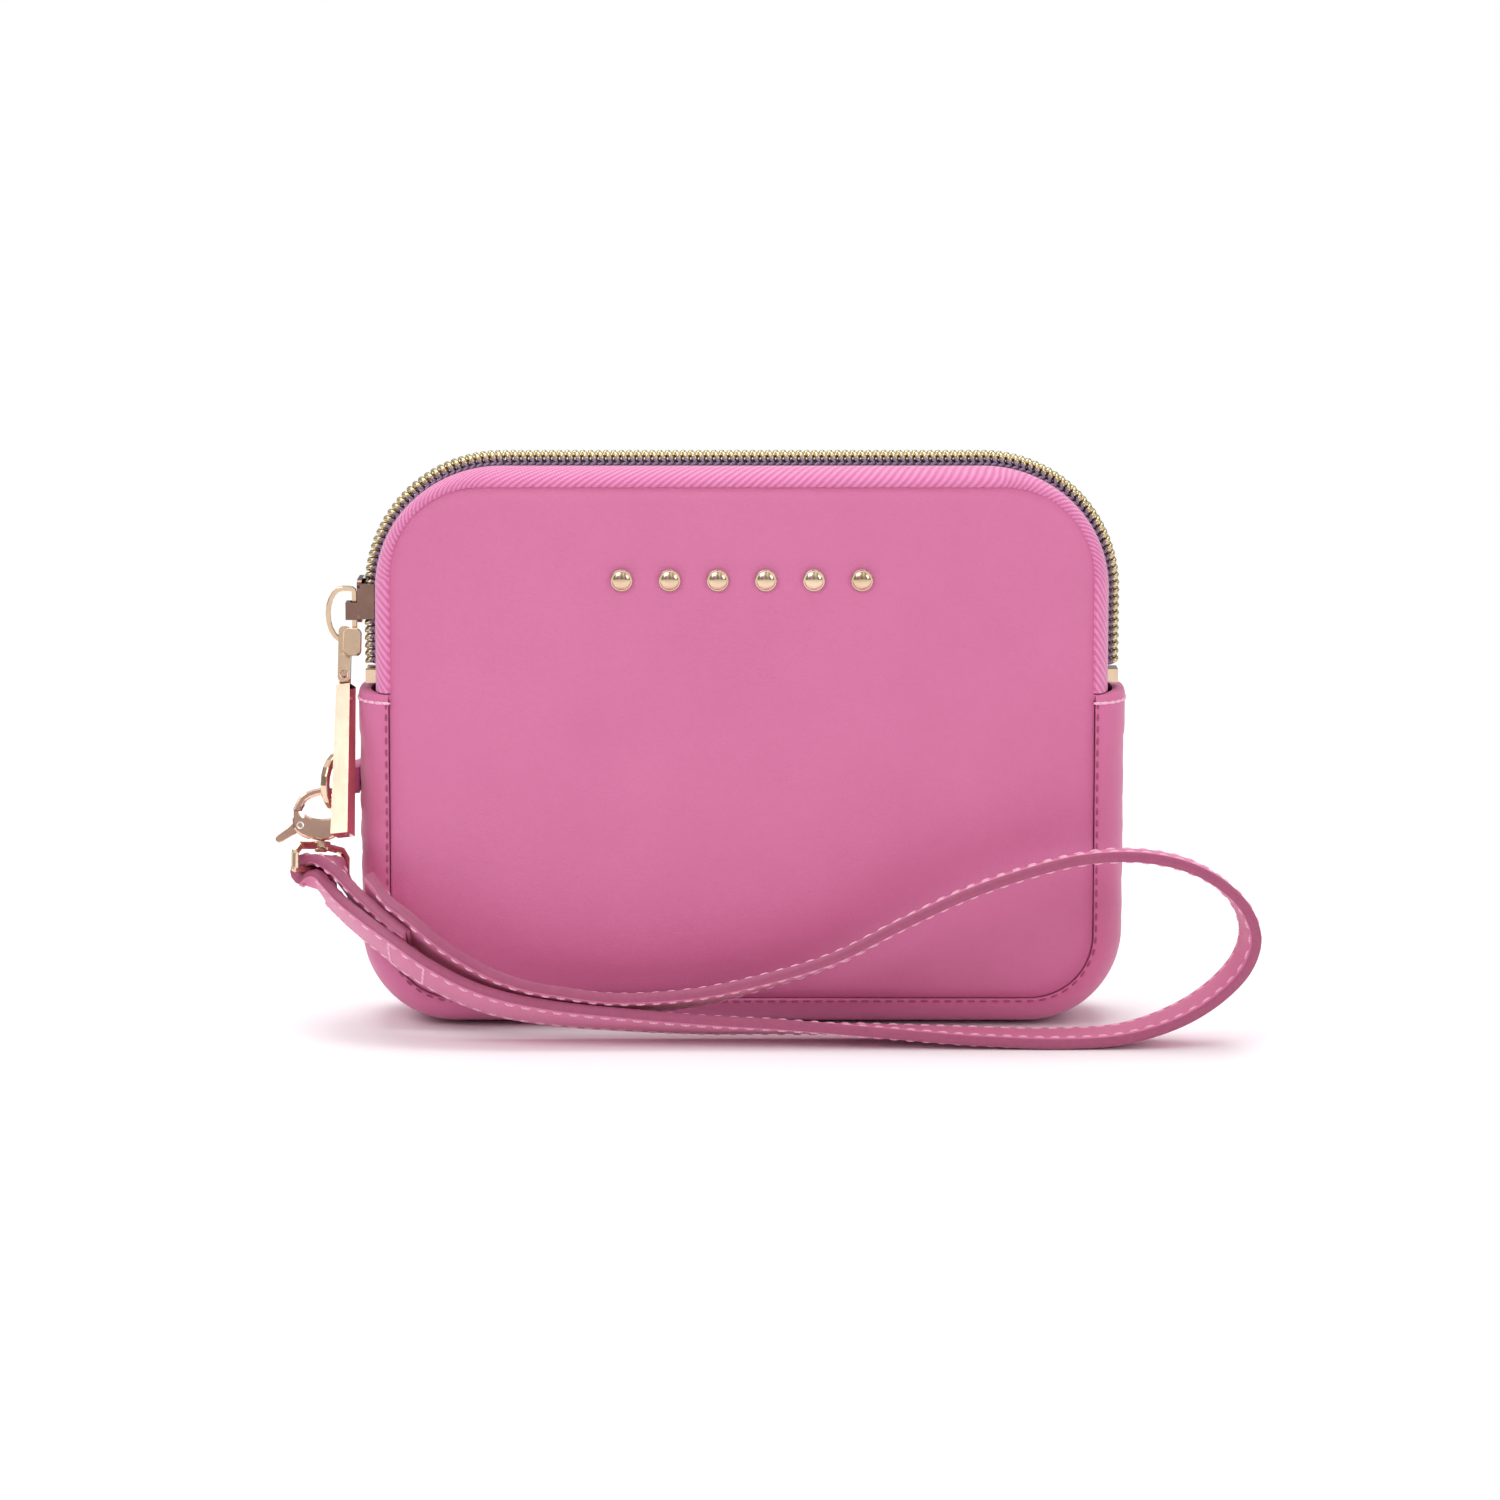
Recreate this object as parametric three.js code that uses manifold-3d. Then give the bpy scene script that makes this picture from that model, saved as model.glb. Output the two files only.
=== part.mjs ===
// Zip-round wristlet wallet with a clip-on leather wrist strap.
// Millimetres, +Z up, front towards -Y, width along X. The origin is the middle of the flat
// underside that the wallet stands on.
import * as THREE from "three";
import { mergeVertices } from "three/addons/utils/BufferGeometryUtils.js";
import Module from "manifold-3d";

const wasm = await Module();
wasm.setup();

// ---------------------------------------------------------------- driving dimensions
const bodyWidth = 150; // over the bulge of the gusset
const bodyHeight = 112.5; // floor to the top of the coil
const seamDepth = 30; // front seam to rear seam at the bottom
const topDepth = 22; // front seam to rear seam at the top
const gussetBulge = 6.3; // how far the gusset stands outside the seams
const tapeRise = 5.9; // how far the coil stands outside the seam
const seamTopRadius = 18;
const seamBottomRadius = 12.5;
const coilRadius = 27; // the coil's bend over the two top corners
const gussetTop = 66; // the folded ends of the gusset
const gussetHem = 8; // the doubled stretch below each folded end
const panelCrown = 3.5;

const clearance = 0.3; // between pieces that touch
const leather = 1.3;
const board = 1.0;
const lining = 0.5;
const tapeThickness = 0.6;
const coilHeight = 2.3;
const coilHalf = 2.8; // width of one half of the coil
const coilSplit = 0.9; // how far each half stands off the middle where the zip is open

const sliderZ = 83.3;
const sliderLength = 8.5;
const sliderPlate = 0.9;
const sliderWall = 1.0;
const crownTunnel = 1.7;
const crownLength = 3.4;

const pullRingWire = 1.0;
const pullRingWidth = 6.2;
const pullRingHeight = 11.2;
const shackleWidth = 2.4;
const pinRadius = 0.55;
const pullBarLength = 30.3;
const pullBarTop = 2.9;
const pullBarFoot = 3.6;
const pullLean = 25; // degrees the pull leans forward, over the clasp
const pullTwist = -20; // degrees the bar is turned about its own length

const attachWire = 1.5;
const attachReach = 8.2;
const attachHeight = 10.4;
const attachTurn = 60; // degrees the ring points forward of straight out
const claspLean = 16; // degrees the clasp leans forward
const claspThickness = 2.6;
const strapRingWire = 1.5;
const swivelTurn = 35; // degrees the strap ring is turned, its front end to the left
const strapBarZ = -12.35; // the bar of the strap ring, in the clasp's frame

const strapWidth = 11;
const strapPly = 0.85;
const strapGlue = 0.36; // between the two plies
const studCount = 6;
const studPitch = 9.3;
const studRadius = 2.1;
const studHeight = 1.2;
const studZ = 88.7;

// ---------------------------------------------------------------- sizes that follow
const seamHalf = bodyWidth / 2 - gussetBulge;
const seamFoot = gussetBulge;
const seamTop = bodyHeight - tapeRise;
const coilHalfWidth = seamHalf + tapeRise - 0.6;
const tapeSink = coilHeight + clearance; // top of the tape below the top of the coil
const radians = THREE.MathUtils.degToRad;

// Half the depth between the seams at a height: the wallet narrows evenly towards the zip.
const halfDepth = (z) =>
  THREE.MathUtils.mapLinear(z, seamFoot, seamTop, seamDepth, topDepth) / 2;

// ---------------------------------------------------------------- finishes
const finish = (color, roughness, metalness) =>
  new THREE.MeshStandardMaterial({ color, roughness, metalness });
const pinkLeather = finish(0xd77aa8, 0.5, 0);
const gussetLeather = finish(0xd8749f, 0.5, 0);
const strapLeather = finish(0xdc82a8, 0.55, 0);
const pinkTape = finish(0xe58fba, 0.85, 0);
const paleGold = finish(0xd9c39a, 0.3, 1);
const roseGold = finish(0xe6b8a0, 0.2, 1);
const liningCloth = finish(0xb98aa0, 0.9, 0);
const fibreBoard = finish(0xa89a88, 0.9, 0);
const springSteel = finish(0x8d8d8d, 0.35, 1);

// ---------------------------------------------------------------- helpers
const wallet = new THREE.Group();

function addMesh(name, geometry, material, parent = wallet) {
  const mesh = new THREE.Mesh(geometry, material);
  mesh.name = name;
  parent.add(mesh);
  return mesh;
}

function toSolid(geometry) {
  const bare = geometry.clone();
  bare.deleteAttribute("normal");
  bare.deleteAttribute("uv");
  const merged = mergeVertices(bare, 1e-4);
  return new wasm.Manifold(
    new wasm.Mesh({
      numProp: 3,
      vertProperties: new Float32Array(merged.attributes.position.array),
      triVerts: new Uint32Array(merged.index.array),
    }),
  );
}

function toGeometry(solid) {
  const mesh = solid.getMesh();
  const geometry = new THREE.BufferGeometry();
  geometry.setAttribute("position", new THREE.BufferAttribute(mesh.vertProperties, 3));
  geometry.setIndex(new THREE.BufferAttribute(mesh.triVerts, 1));
  return geometry;
}

const join = (...parts) => toGeometry(parts.map(toSolid).reduce((a, b) => a.add(b)));
const cut = (from, ...tools) =>
  toGeometry(tools.map(toSolid).reduce((a, b) => a.subtract(b), toSolid(from)));

// A block of one layer whose grid is laid onto a surface: place(u, v, side) gives the point for
// grid column u, grid row v and side 0 (outer face) or 1 (inner face).
function moulded(columns, rows, place) {
  const geometry = new THREE.BoxGeometry(1, 1, 1, columns, rows, 1);
  const at = geometry.attributes.position;
  for (let i = 0; i < at.count; i++) {
    const u = Math.round((at.getX(i) + 0.5) * columns);
    const v = Math.round((at.getY(i) + 0.5) * rows);
    const point = place(u, v, at.getZ(i) > 0 ? 0 : 1);
    at.setXYZ(i, point.x, point.y, point.z);
  }
  return facingOut(geometry);
}

// Turns a closed surface the right way round when its volume comes out negative.
function facingOut(geometry) {
  const at = geometry.attributes.position;
  const index = geometry.index;
  const corner = (i) => new THREE.Vector3().fromBufferAttribute(at, index.getX(i));
  let volume = 0;
  for (let i = 0; i < index.count; i += 3) {
    volume += corner(i).dot(corner(i + 1).cross(corner(i + 2)));
  }
  if (volume < 0) {
    for (let i = 0; i < index.count; i += 3) {
      const held = index.getX(i + 1);
      index.setX(i + 1, index.getX(i + 2));
      index.setX(i + 2, held);
    }
  }
  return geometry;
}

// A flat outline in the XZ plane made into a plate between two depths along Y.
function plate(shape, yFront, yBack, bevel = 0, curveSegments = 8) {
  const geometry = new THREE.ExtrudeGeometry(shape, {
    depth: yBack - yFront - 2 * bevel,
    bevelEnabled: bevel > 0,
    bevelThickness: bevel,
    bevelSize: bevel,
    bevelOffset: -bevel,
    bevelSegments: 2,
    curveSegments,
  });
  geometry.rotateX(Math.PI / 2);
  geometry.translate(0, yBack - bevel, 0);
  return geometry;
}

function box(low, high) {
  const size = high.map((value, i) => value - low[i]);
  const geometry = new THREE.BoxGeometry(...size);
  return geometry.translate(...low.map((value, i) => value + size[i] / 2));
}

// A rod along Y.
function rodY(radius, x, z, yFront, yBack, sides = 16) {
  const geometry = new THREE.CylinderGeometry(radius, radius, yBack - yFront, sides);
  return geometry.translate(x, (yFront + yBack) / 2, z);
}

function roundedRect(x0, z0, x1, z1, radius) {
  const shape = new THREE.Shape();
  shape.moveTo(x0 + radius, z0);
  shape.lineTo(x1 - radius, z0);
  shape.absarc(x1 - radius, z0 + radius, radius, -Math.PI / 2, 0);
  shape.lineTo(x1, z1 - radius);
  shape.absarc(x1 - radius, z1 - radius, radius, 0, Math.PI / 2);
  shape.lineTo(x0 + radius, z1);
  shape.absarc(x0 + radius, z1 - radius, radius, Math.PI / 2, Math.PI);
  shape.lineTo(x0, z0 + radius);
  shape.absarc(x0 + radius, z0 + radius, radius, Math.PI, Math.PI * 1.5);
  return shape;
}

// ---------------------------------------------------------------- panels
// A panel is a rounded rectangle in front view, crowned in the middle. Its grid is denser near
// the edges, and the four corner squares are folded onto quarter discs.
const panelColumns = 14;
const panelRows = 12;

function panelPoint(u, v, inset, stand, sign) {
  const half = seamHalf - inset;
  const low = seamFoot + inset;
  const high = seamTop - inset;
  const middle = (low + high) / 2;
  const reach = (high - low) / 2;
  let x = half * Math.sin((Math.PI / 2) * ((2 * u) / panelColumns - 1));
  let z = reach * Math.sin((Math.PI / 2) * ((2 * v) / panelRows - 1));
  const radius = Math.max((z > 0 ? seamTopRadius : seamBottomRadius) - inset, 1);
  const dx = Math.abs(x) - (half - radius);
  const dz = Math.abs(z) - (reach - radius);
  if (dx > 0 && dz > 0) {
    const distance = Math.max(dx, dz);
    const turn = (Math.PI / 4) * (dx > dz ? dz / dx : 2 - dx / dz);
    x = Math.sign(x) * (half - radius + distance * Math.cos(turn));
    z = Math.sign(z) * (reach - radius + distance * Math.sin(turn));
  }
  z += middle;
  const across = Math.abs(x) / seamHalf;
  const along = Math.abs(2 * z - seamFoot - seamTop) / (seamTop - seamFoot);
  const crown = panelCrown * (1 - across ** 3) * (1 - along ** 3);
  return new THREE.Vector3(x, sign * (halfDepth(z) + crown - stand), z);
}

const panelLayer = (inset, depth, thickness, sign) =>
  moulded(panelColumns, panelRows, (u, v, side) =>
    panelPoint(u, v, inset, depth + side * thickness, sign),
  );

const boardDepth = leather + clearance;
const liningDepth = boardDepth + board + clearance;
const pocketDepth = liningDepth + lining + clearance;
const panelInset = clearance / 2;
const layerInset = 2.2;

// Ornament: a row of plain domed studs, each with a stem through the leather.
const studX = (i) => (i - (studCount - 1) / 2) * studPitch;
const stemRadius = 0.6;
const studFace = panelPoint(panelColumns / 2, panelRows / 2, 0, 0, -1).y;
const stemHoles = Array.from({ length: studCount }, (_, i) =>
  rodY(stemRadius + clearance, studX(i), studZ, studFace - 5, -halfDepth(studZ) + 5, 8),
);
addMesh("front_panel", cut(panelLayer(panelInset, 0, leather, -1), ...stemHoles), pinkLeather);
addMesh("rear_panel", panelLayer(panelInset, 0, leather, 1), pinkLeather);
addMesh("front_stiffener", panelLayer(layerInset, boardDepth, board, -1), fibreBoard);
addMesh("rear_stiffener", panelLayer(layerInset, boardDepth, board, 1), fibreBoard);
addMesh("front_lining", panelLayer(layerInset + 1, liningDepth, lining, -1), liningCloth);
addMesh("rear_lining", panelLayer(layerInset + 1, liningDepth, lining, 1), liningCloth);

// Depth of the front face of the crowned front panel above a point of the front view.
function frontFace(x, z) {
  const across = Math.abs(x) / seamHalf;
  const along = Math.abs(2 * z - seamFoot - seamTop) / (seamTop - seamFoot);
  return -(halfDepth(z) + panelCrown * (1 - across ** 3) * (1 - along ** 3));
}

const studRise = frontFace(0, studZ + studRadius) - frontFace(0, studZ - studRadius);
const studTilt = Math.atan2(studRise, 2 * studRadius);
for (let i = 0; i < studCount; i++) {
  const face = frontFace(studX(i), studZ) - clearance;
  const dome = new THREE.LatheGeometry(
    [
      new THREE.Vector2(0, 0.1 - leather),
      new THREE.Vector2(stemRadius, 0.1 - leather),
      new THREE.Vector2(stemRadius, 0),
      new THREE.Vector2(studRadius, 0),
      new THREE.Vector2(studRadius, studHeight * 0.45),
      new THREE.Vector2(studRadius * 0.75, studHeight * 0.9),
      new THREE.Vector2(0, studHeight),
    ],
    12,
  );
  dome.rotateX(Math.PI - studTilt).translate(studX(i), face, studZ);
  addMesh("ornament_stud_" + (i + 1), dome, paleGold);
}

// Inside pockets: flat pieces that stand on the crowned linings.
function pocket(halfWidth, low, high, depth, sign, thickness) {
  return moulded(8, 4, (u, v, side) => {
    const x = halfWidth * ((2 * u) / 8 - 1);
    const z = THREE.MathUtils.lerp(low, high, v / 4);
    return new THREE.Vector3(x, -sign * (frontFace(x, z) + depth + side * thickness), z);
  });
}
const pocketFoot = seamFoot + 9;
const pocketLeather = 0.9;
addMesh("slip_pocket", pocket(56, pocketFoot, 82, pocketDepth, 1, lining), liningCloth);
addMesh("card_slot_rear", pocket(50, pocketFoot, 76, pocketDepth, -1, pocketLeather), pinkLeather);
addMesh(
  "card_slot_front",
  pocket(50, pocketFoot, 64, pocketDepth + pocketLeather + clearance, -1, pocketLeather),
  pinkLeather,
);

// ---------------------------------------------------------------- arches along the zip
// Stations along the zip, from the left folded end over the top to the right one. Each station
// is a stretch (0 left side, 1 left corner, 2 top, 3 right corner, 4 right side) and a share.
function stations(...counts) {
  const list = [{ stretch: 0, share: 0 }];
  counts.forEach((count, stretch) => {
    for (let i = 1; i <= count; i++) list.push({ stretch, share: i / count });
  });
  return list;
}

// Point and outward direction of a round-cornered arch at a station.
function archAt({ stretch, share }, half, top, radius, footLeft, footRight) {
  const spring = top - radius;
  const corner = (angle, sign) => ({
    x: sign * (half - radius + radius * Math.cos(angle)),
    z: spring + radius * Math.sin(angle),
    nx: sign * Math.cos(angle),
    nz: Math.sin(angle),
  });
  if (stretch === 0) {
    return { x: -half, z: THREE.MathUtils.lerp(footLeft, spring, share), nx: -1, nz: 0 };
  }
  if (stretch === 1) return corner((Math.PI / 2) * share, -1);
  if (stretch === 2) {
    return { x: THREE.MathUtils.lerp(radius - half, half - radius, share), z: top, nx: 0, nz: 1 };
  }
  if (stretch === 3) return corner((Math.PI / 2) * (1 - share), 1);
  return { x: half, z: THREE.MathUtils.lerp(spring, footRight, share), nx: 1, nz: 0 };
}

// How far a half of the coil stands off the middle: the zip is open below the slider.
const splitTop = sliderZ + sliderLength / 2 + 1.5;
const splitFoot = sliderZ + sliderLength / 2 - 3;
const splitAt = (point) =>
  point.x < 0 ? coilSplit * (1 - THREE.MathUtils.smoothstep(point.z, splitFoot, splitTop)) : 0;

const tapeFoot = gussetTop + clearance;
const tapeStations = stations(6, 8, 10, 8, 6);
const tapeFlat = coilHalf + 1.8; // the flat stretch of tape that the coil is sewn to

function tape(sign) {
  return moulded(tapeStations.length - 1, 3, (u, v, side) => {
    const station = tapeStations[u];
    const seam = archAt(station, seamHalf, seamTop, seamTopRadius, tapeFoot, tapeFoot);
    const ridge = archAt(station, coilHalfWidth, bodyHeight, coilRadius, tapeFoot, tapeFoot);
    const split = splitAt(ridge);
    const sunk = tapeSink + side * tapeThickness;
    const flatPoint = (y, extra = 0) =>
      new THREE.Vector3(ridge.x - ridge.nx * (sunk + extra), sign * (y + split),
        ridge.z - ridge.nz * (sunk + extra));
    if (v === 3) return flatPoint(clearance / 2);
    if (v === 2) return flatPoint(tapeFlat - side * 0.2);
    const edge = new THREE.Vector3(
      seam.x + (seam.nx * clearance) / 2,
      sign * (halfDepth(seam.z) - side * tapeThickness * 1.2),
      seam.z + (seam.nz * clearance) / 2,
    );
    if (v === 0) return edge;
    return edge.lerp(flatPoint(tapeFlat), 0.55);
  });
}
addMesh("front_tape", tape(-1), pinkTape);
addMesh("rear_tape", tape(1), pinkTape);

// One half of the coil as a rounded strip: the section runs over the top and back underneath.
const coilSection = {
  over: [[0.15, 0.35], [0.7, 0], [2.1, 0.4], [coilHalf, 1.3]],
  under: [[0.15, coilHeight], [1, coilHeight], [1.9, coilHeight], [coilHalf - 0.15, coilHeight - 0.3]],
};
function coil(sign, footLeft, footRight, list) {
  return moulded(list.length - 1, 3, (u, v, side) => {
    const ridge = archAt(list[u], coilHalfWidth, bodyHeight, coilRadius, footLeft, footRight);
    const [y, depth] = (side ? coilSection.under : coilSection.over)[v];
    return new THREE.Vector3(
      ridge.x - ridge.nx * depth,
      sign * (y + splitAt(ridge)),
      ridge.z - ridge.nz * depth,
    );
  });
}
const stopLength = 2.6;
const stopFoot = tapeFoot + 0.8;
const coilFoot = stopFoot + stopLength + clearance;
addMesh("rear_coil", coil(1, coilFoot, coilFoot, tapeStations), paleGold);

// The front half of the coil is two lengths: the one that the slider holds, and the rest.
const heldCoil = 3; // stations of the left corner that stay with the slider
const cornerCount = 8;
const heldList = stations(6).concat(
  Array.from({ length: heldCoil }, (_, i) => ({ stretch: 1, share: (i + 1) / cornerCount })),
);
const freeStart = heldCoil / cornerCount + 0.01;
const freeList = stations(6, cornerCount, 10, cornerCount, 6).slice(6 + heldCoil);
freeList[0] = { stretch: 1, share: freeStart };
addMesh("front_coil_held", coil(-1, coilFoot, coilFoot, heldList), paleGold);
addMesh("front_coil", coil(-1, coilFoot, coilFoot, freeList), paleGold);

// Stops: one on each half of the coil at the left end, one over both halves at the right end.
function stop(side, yInner, yOuter) {
  const outer = side * (coilHalfWidth - 0.2);
  const inner = side * (coilHalfWidth - tapeSink + clearance);
  const [low, high] = [Math.min(outer, inner), Math.max(outer, inner)];
  return box([low, yInner, stopFoot], [high, yOuter, stopFoot + stopLength]);
}
const stopInner = coilSplit + clearance;
addMesh("top_stop_front", stop(-1, -stopInner - 2.4, -stopInner), paleGold);
addMesh("top_stop_rear", stop(-1, stopInner, stopInner + 2.4), paleGold);
addMesh("bottom_stop", stop(1, -coilHalf, coilHalf), paleGold);

// ---------------------------------------------------------------- gusset
// Section across the gusset, front seam to rear seam: share of the half depth, and the bulge.
const gussetSection = [
  [-1, 0.02], [-0.93, 0.38], [-0.74, 0.78], [-0.42, 1], [0.42, 1], [0.74, 0.78], [0.93, 0.38], [1, 0.02],
];
// Inward direction of the section at each of its points, as [share across, share down].
const gussetInward = [
  [0.9, -0.25], [0.75, 0.6], [0.5, 0.85], [0.12, 1], [-0.12, 1], [-0.5, 0.85], [-0.75, 0.6], [-0.9, -0.25],
];

function gussetPoint(u, v, list, foot, depth) {
  // The same arch turned upside down: its ends are at the top and its bend at the bottom.
  const flipped = archAt(list[u], seamHalf, -seamFoot, seamBottomRadius, -foot, -foot);
  const point = { x: flipped.x, z: -flipped.z, nx: flipped.nx, nz: -flipped.nz };
  const [share, bulge] = gussetSection[v];
  const [across, down] = gussetInward[v];
  const out = clearance / 2 + (gussetBulge - clearance / 2) * bulge - depth * down;
  return new THREE.Vector3(
    point.x + point.nx * out,
    share * halfDepth(point.z) + depth * across,
    point.z + point.nz * out,
  );
}
const gussetStations = stations(6, 6, 1, 6, 6);
const hemStation = 1;
const hemDepth = 2.2;
addMesh(
  "gusset",
  moulded(gussetStations.length - 1, gussetSection.length - 1, (u, v, side) => {
    const folded = Math.min(u, gussetStations.length - 1 - u) <= hemStation;
    return gussetPoint(u, v, gussetStations, gussetTop, side * (folded ? hemDepth : leather));
  }),
  gussetLeather,
);
const gussetLiningTop = gussetTop - 2.2 * gussetHem;
addMesh(
  "gusset_lining",
  moulded(gussetStations.length - 1, 5, (u, v, side) =>
    gussetPoint(u, v + 1, gussetStations, gussetLiningTop, leather + clearance + side * lining)),
  liningCloth,
);

// ---------------------------------------------------------------- slider
const coilFace = -coilHalfWidth; // outer face of the coil on the left side
const channelHalf = coilHalf + coilSplit + clearance;
const sliderHalf = channelHalf + sliderWall;
const plateInner = coilFace - clearance;
const plateOuter = plateInner - sliderPlate;
const sliderLow = sliderZ - sliderLength / 2;
const sliderHigh = sliderZ + sliderLength / 2;
const underPlateTop = coilFace + tapeSink + tapeThickness + 1.5 * clearance;
const wallFoot = coilFace + coilHeight - 0.15;
const tunnelOuter = plateOuter - crownTunnel;
const crownWall = 0.8;
const crownHalf = 2;
const crownZ = sliderZ - 2.3;

function sliderPlateShape(halfWidth) {
  return roundedRect(-halfWidth, sliderLow, halfWidth, sliderHigh, 1.6);
}
function acrossX(shape, xFrom, xTo) {
  const geometry = new THREE.ExtrudeGeometry(shape, {
    depth: xTo - xFrom,
    bevelEnabled: false,
    curveSegments: 4,
  });
  // The outline's x becomes Y and its y becomes Z.
  geometry.rotateX(Math.PI / 2).rotateZ(Math.PI / 2);
  return geometry.translate(xFrom, 0, 0);
}
const wallBox = (sign) => {
  const [yLow, yHigh] = [sign * channelHalf, sign * sliderHalf].sort((a, b) => a - b);
  return box([plateInner - 0.3, yLow, sliderLow + 0.8], [wallFoot, yHigh, sliderHigh - 0.8]);
};
const wedgeHalf = coilSplit - 0.2;
const slider = join(
  acrossX(sliderPlateShape(sliderHalf), plateOuter, plateInner),
  acrossX(sliderPlateShape(sliderHalf - 0.4), underPlateTop, underPlateTop + sliderPlate),
  wallBox(-1),
  wallBox(1),
  box([plateInner - 0.3, -wedgeHalf, sliderLow + 0.6],
    [underPlateTop + 0.3, wedgeHalf, splitFoot - 1]),
  box([tunnelOuter, -crownHalf, crownZ - crownLength / 2],
    [plateOuter + 0.2, 0.8 - crownHalf, crownZ + crownLength / 2]),
  box([tunnelOuter, crownHalf - 0.8, crownZ - crownLength / 2],
    [plateOuter + 0.2, crownHalf, crownZ + crownLength / 2]),
  box([tunnelOuter - crownWall, -crownHalf, crownZ - crownLength / 2],
    [tunnelOuter + 0.05, crownHalf, crownZ + crownLength / 2]),
);
addMesh("slider_body", slider, roseGold);

// ---------------------------------------------------------------- pull
// The ring's straight side runs up through the tunnel of the crown.
const ringSideX = plateOuter - crownTunnel / 2;
const ringZ = crownZ - 0.8;
function dRing(sideX, centreZ, width, height, wire, outward = -1) {
  const half = height / 2;
  const bend = Math.min(width * 0.56, half);
  const outline = (grow) => {
    const shape = new THREE.Shape();
    const side = sideX - outward * grow;
    const middle = sideX + outward * (width - bend);
    shape.moveTo(side, centreZ - half + 0.8);
    shape.lineTo(side, centreZ + half - 0.8);
    shape.quadraticCurveTo(side, centreZ + half + grow, sideX + outward * 1.2, centreZ + half + grow);
    shape.lineTo(middle, centreZ + half + grow);
    for (let i = 1; i <= 10; i++) {
      const angle = Math.PI * (0.5 - i / 10);
      shape.lineTo(
        middle + outward * (bend + grow) * Math.cos(angle),
        centreZ + (half + grow) * Math.sin(angle),
      );
    }
    shape.lineTo(sideX + outward * 1.2, centreZ - half - grow);
    shape.quadraticCurveTo(side, centreZ - half - grow, side, centreZ - half + 0.8);
    return shape;
  };
  const shape = outline(wire / 2);
  shape.holes.push(outline(-wire / 2));
  return shape;
}
const pullRing = dRing(ringSideX, ringZ, pullRingWidth - pullRingWire, pullRingHeight - pullRingWire,
  pullRingWire);
addMesh("pull_ring", plate(pullRing, -0.55, 0.55, 0.15, 3), paleGold);

// The shackle hangs on the foot of the ring and leans forward with the bar. Its own frame has
// its origin in the middle of the ring's lower wire.
const hangX = ringSideX - 1.9;
const hangZ = ringZ - (pullRingHeight - pullRingWire) / 2;
const pull = new THREE.Group();
pull.position.set(hangX, 0, hangZ);
pull.rotation.x = -radians(pullLean);
wallet.add(pull);

const eyeHalf = 0.9; // half the depth of the shackle's eye
const cheek = 0.95;
const shackleHalf = shackleWidth / 2;
const pinZ = -7.6;
const eyeTop = 1.05;
const shackleFoot = pinZ - 1.5;
const lobe = 1; // a rounded lobe on the front of the shackle, at its right
const lobeShape = roundedRect(-0.2, -4, shackleHalf + 2.2, 1.6, 1.2);
const cheekShape = roundedRect(-shackleHalf, shackleFoot, shackleHalf, eyeTop + cheek + 0.3, 1);
const shackle = join(
  plate(cheekShape, -eyeHalf - cheek, -eyeHalf),
  plate(cheekShape, eyeHalf, eyeHalf + cheek),
  box([-shackleHalf, -eyeHalf - 0.1, eyeTop], [shackleHalf, eyeHalf + 0.1, eyeTop + cheek]),
  box([-shackleHalf, -eyeHalf - 0.1, -2.6], [shackleHalf, eyeHalf + 0.1, -1.6]),
  plate(lobeShape, -eyeHalf - cheek - lobe, 0.05 - eyeHalf - cheek, 0.2, 3),
);
const pinTool = rodY(pinRadius + clearance, 0, pinZ, -4, 4, 12);
addMesh("pull_shackle", cut(shackle, pinTool), paleGold, pull);

const pinLength = eyeHalf + cheek + 0.35;
addMesh("pull_pin", rodY(pinRadius, 0, pinZ, -pinLength, pinLength, 12), roseGold, pull);

// The bar: a four-sided taper turned about its length, with a tongue between the cheeks.
const barTop = shackleFoot - clearance;
const taper = new THREE.CylinderGeometry(
  pullBarTop * Math.SQRT1_2, pullBarFoot * Math.SQRT1_2, pullBarLength, 4, 1,
);
taper.rotateX(Math.PI / 2).rotateZ(Math.PI / 4 + radians(pullTwist));
taper.translate(0.35, 0, barTop - pullBarLength / 2);
const tongue = plate(
  roundedRect(-0.95, barTop - 0.5, 0.95, pinZ + 1.2, 0.9), -eyeHalf + clearance, eyeHalf - clearance,
);
addMesh("pull_bar", cut(join(taper, tongue), pinTool), roseGold, pull);

// ---------------------------------------------------------------- attachment ring and its tab
// The ring's straight side stands in a folded leather tab on the left of the gusset.
const attachRadius = attachWire / 2;
const tabLeather = 1.0;
const tabBore = attachRadius + 0.45;
const tabOuter = tabBore + tabLeather;
const attachX = -bodyWidth / 2 - clearance - tabOuter;
const attachY = -1.5;
const attachZ = 47.6;
const attach = new THREE.Group();
attach.position.set(attachX, attachY, attachZ);
attach.rotation.z = radians(attachTurn);
wallet.add(attach);
addMesh(
  "attachment_ring",
  plate(dRing(0, 0, attachReach, attachHeight, attachWire), -attachRadius, attachRadius, 0.35, 4),
  paleGold,
  attach,
);

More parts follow.
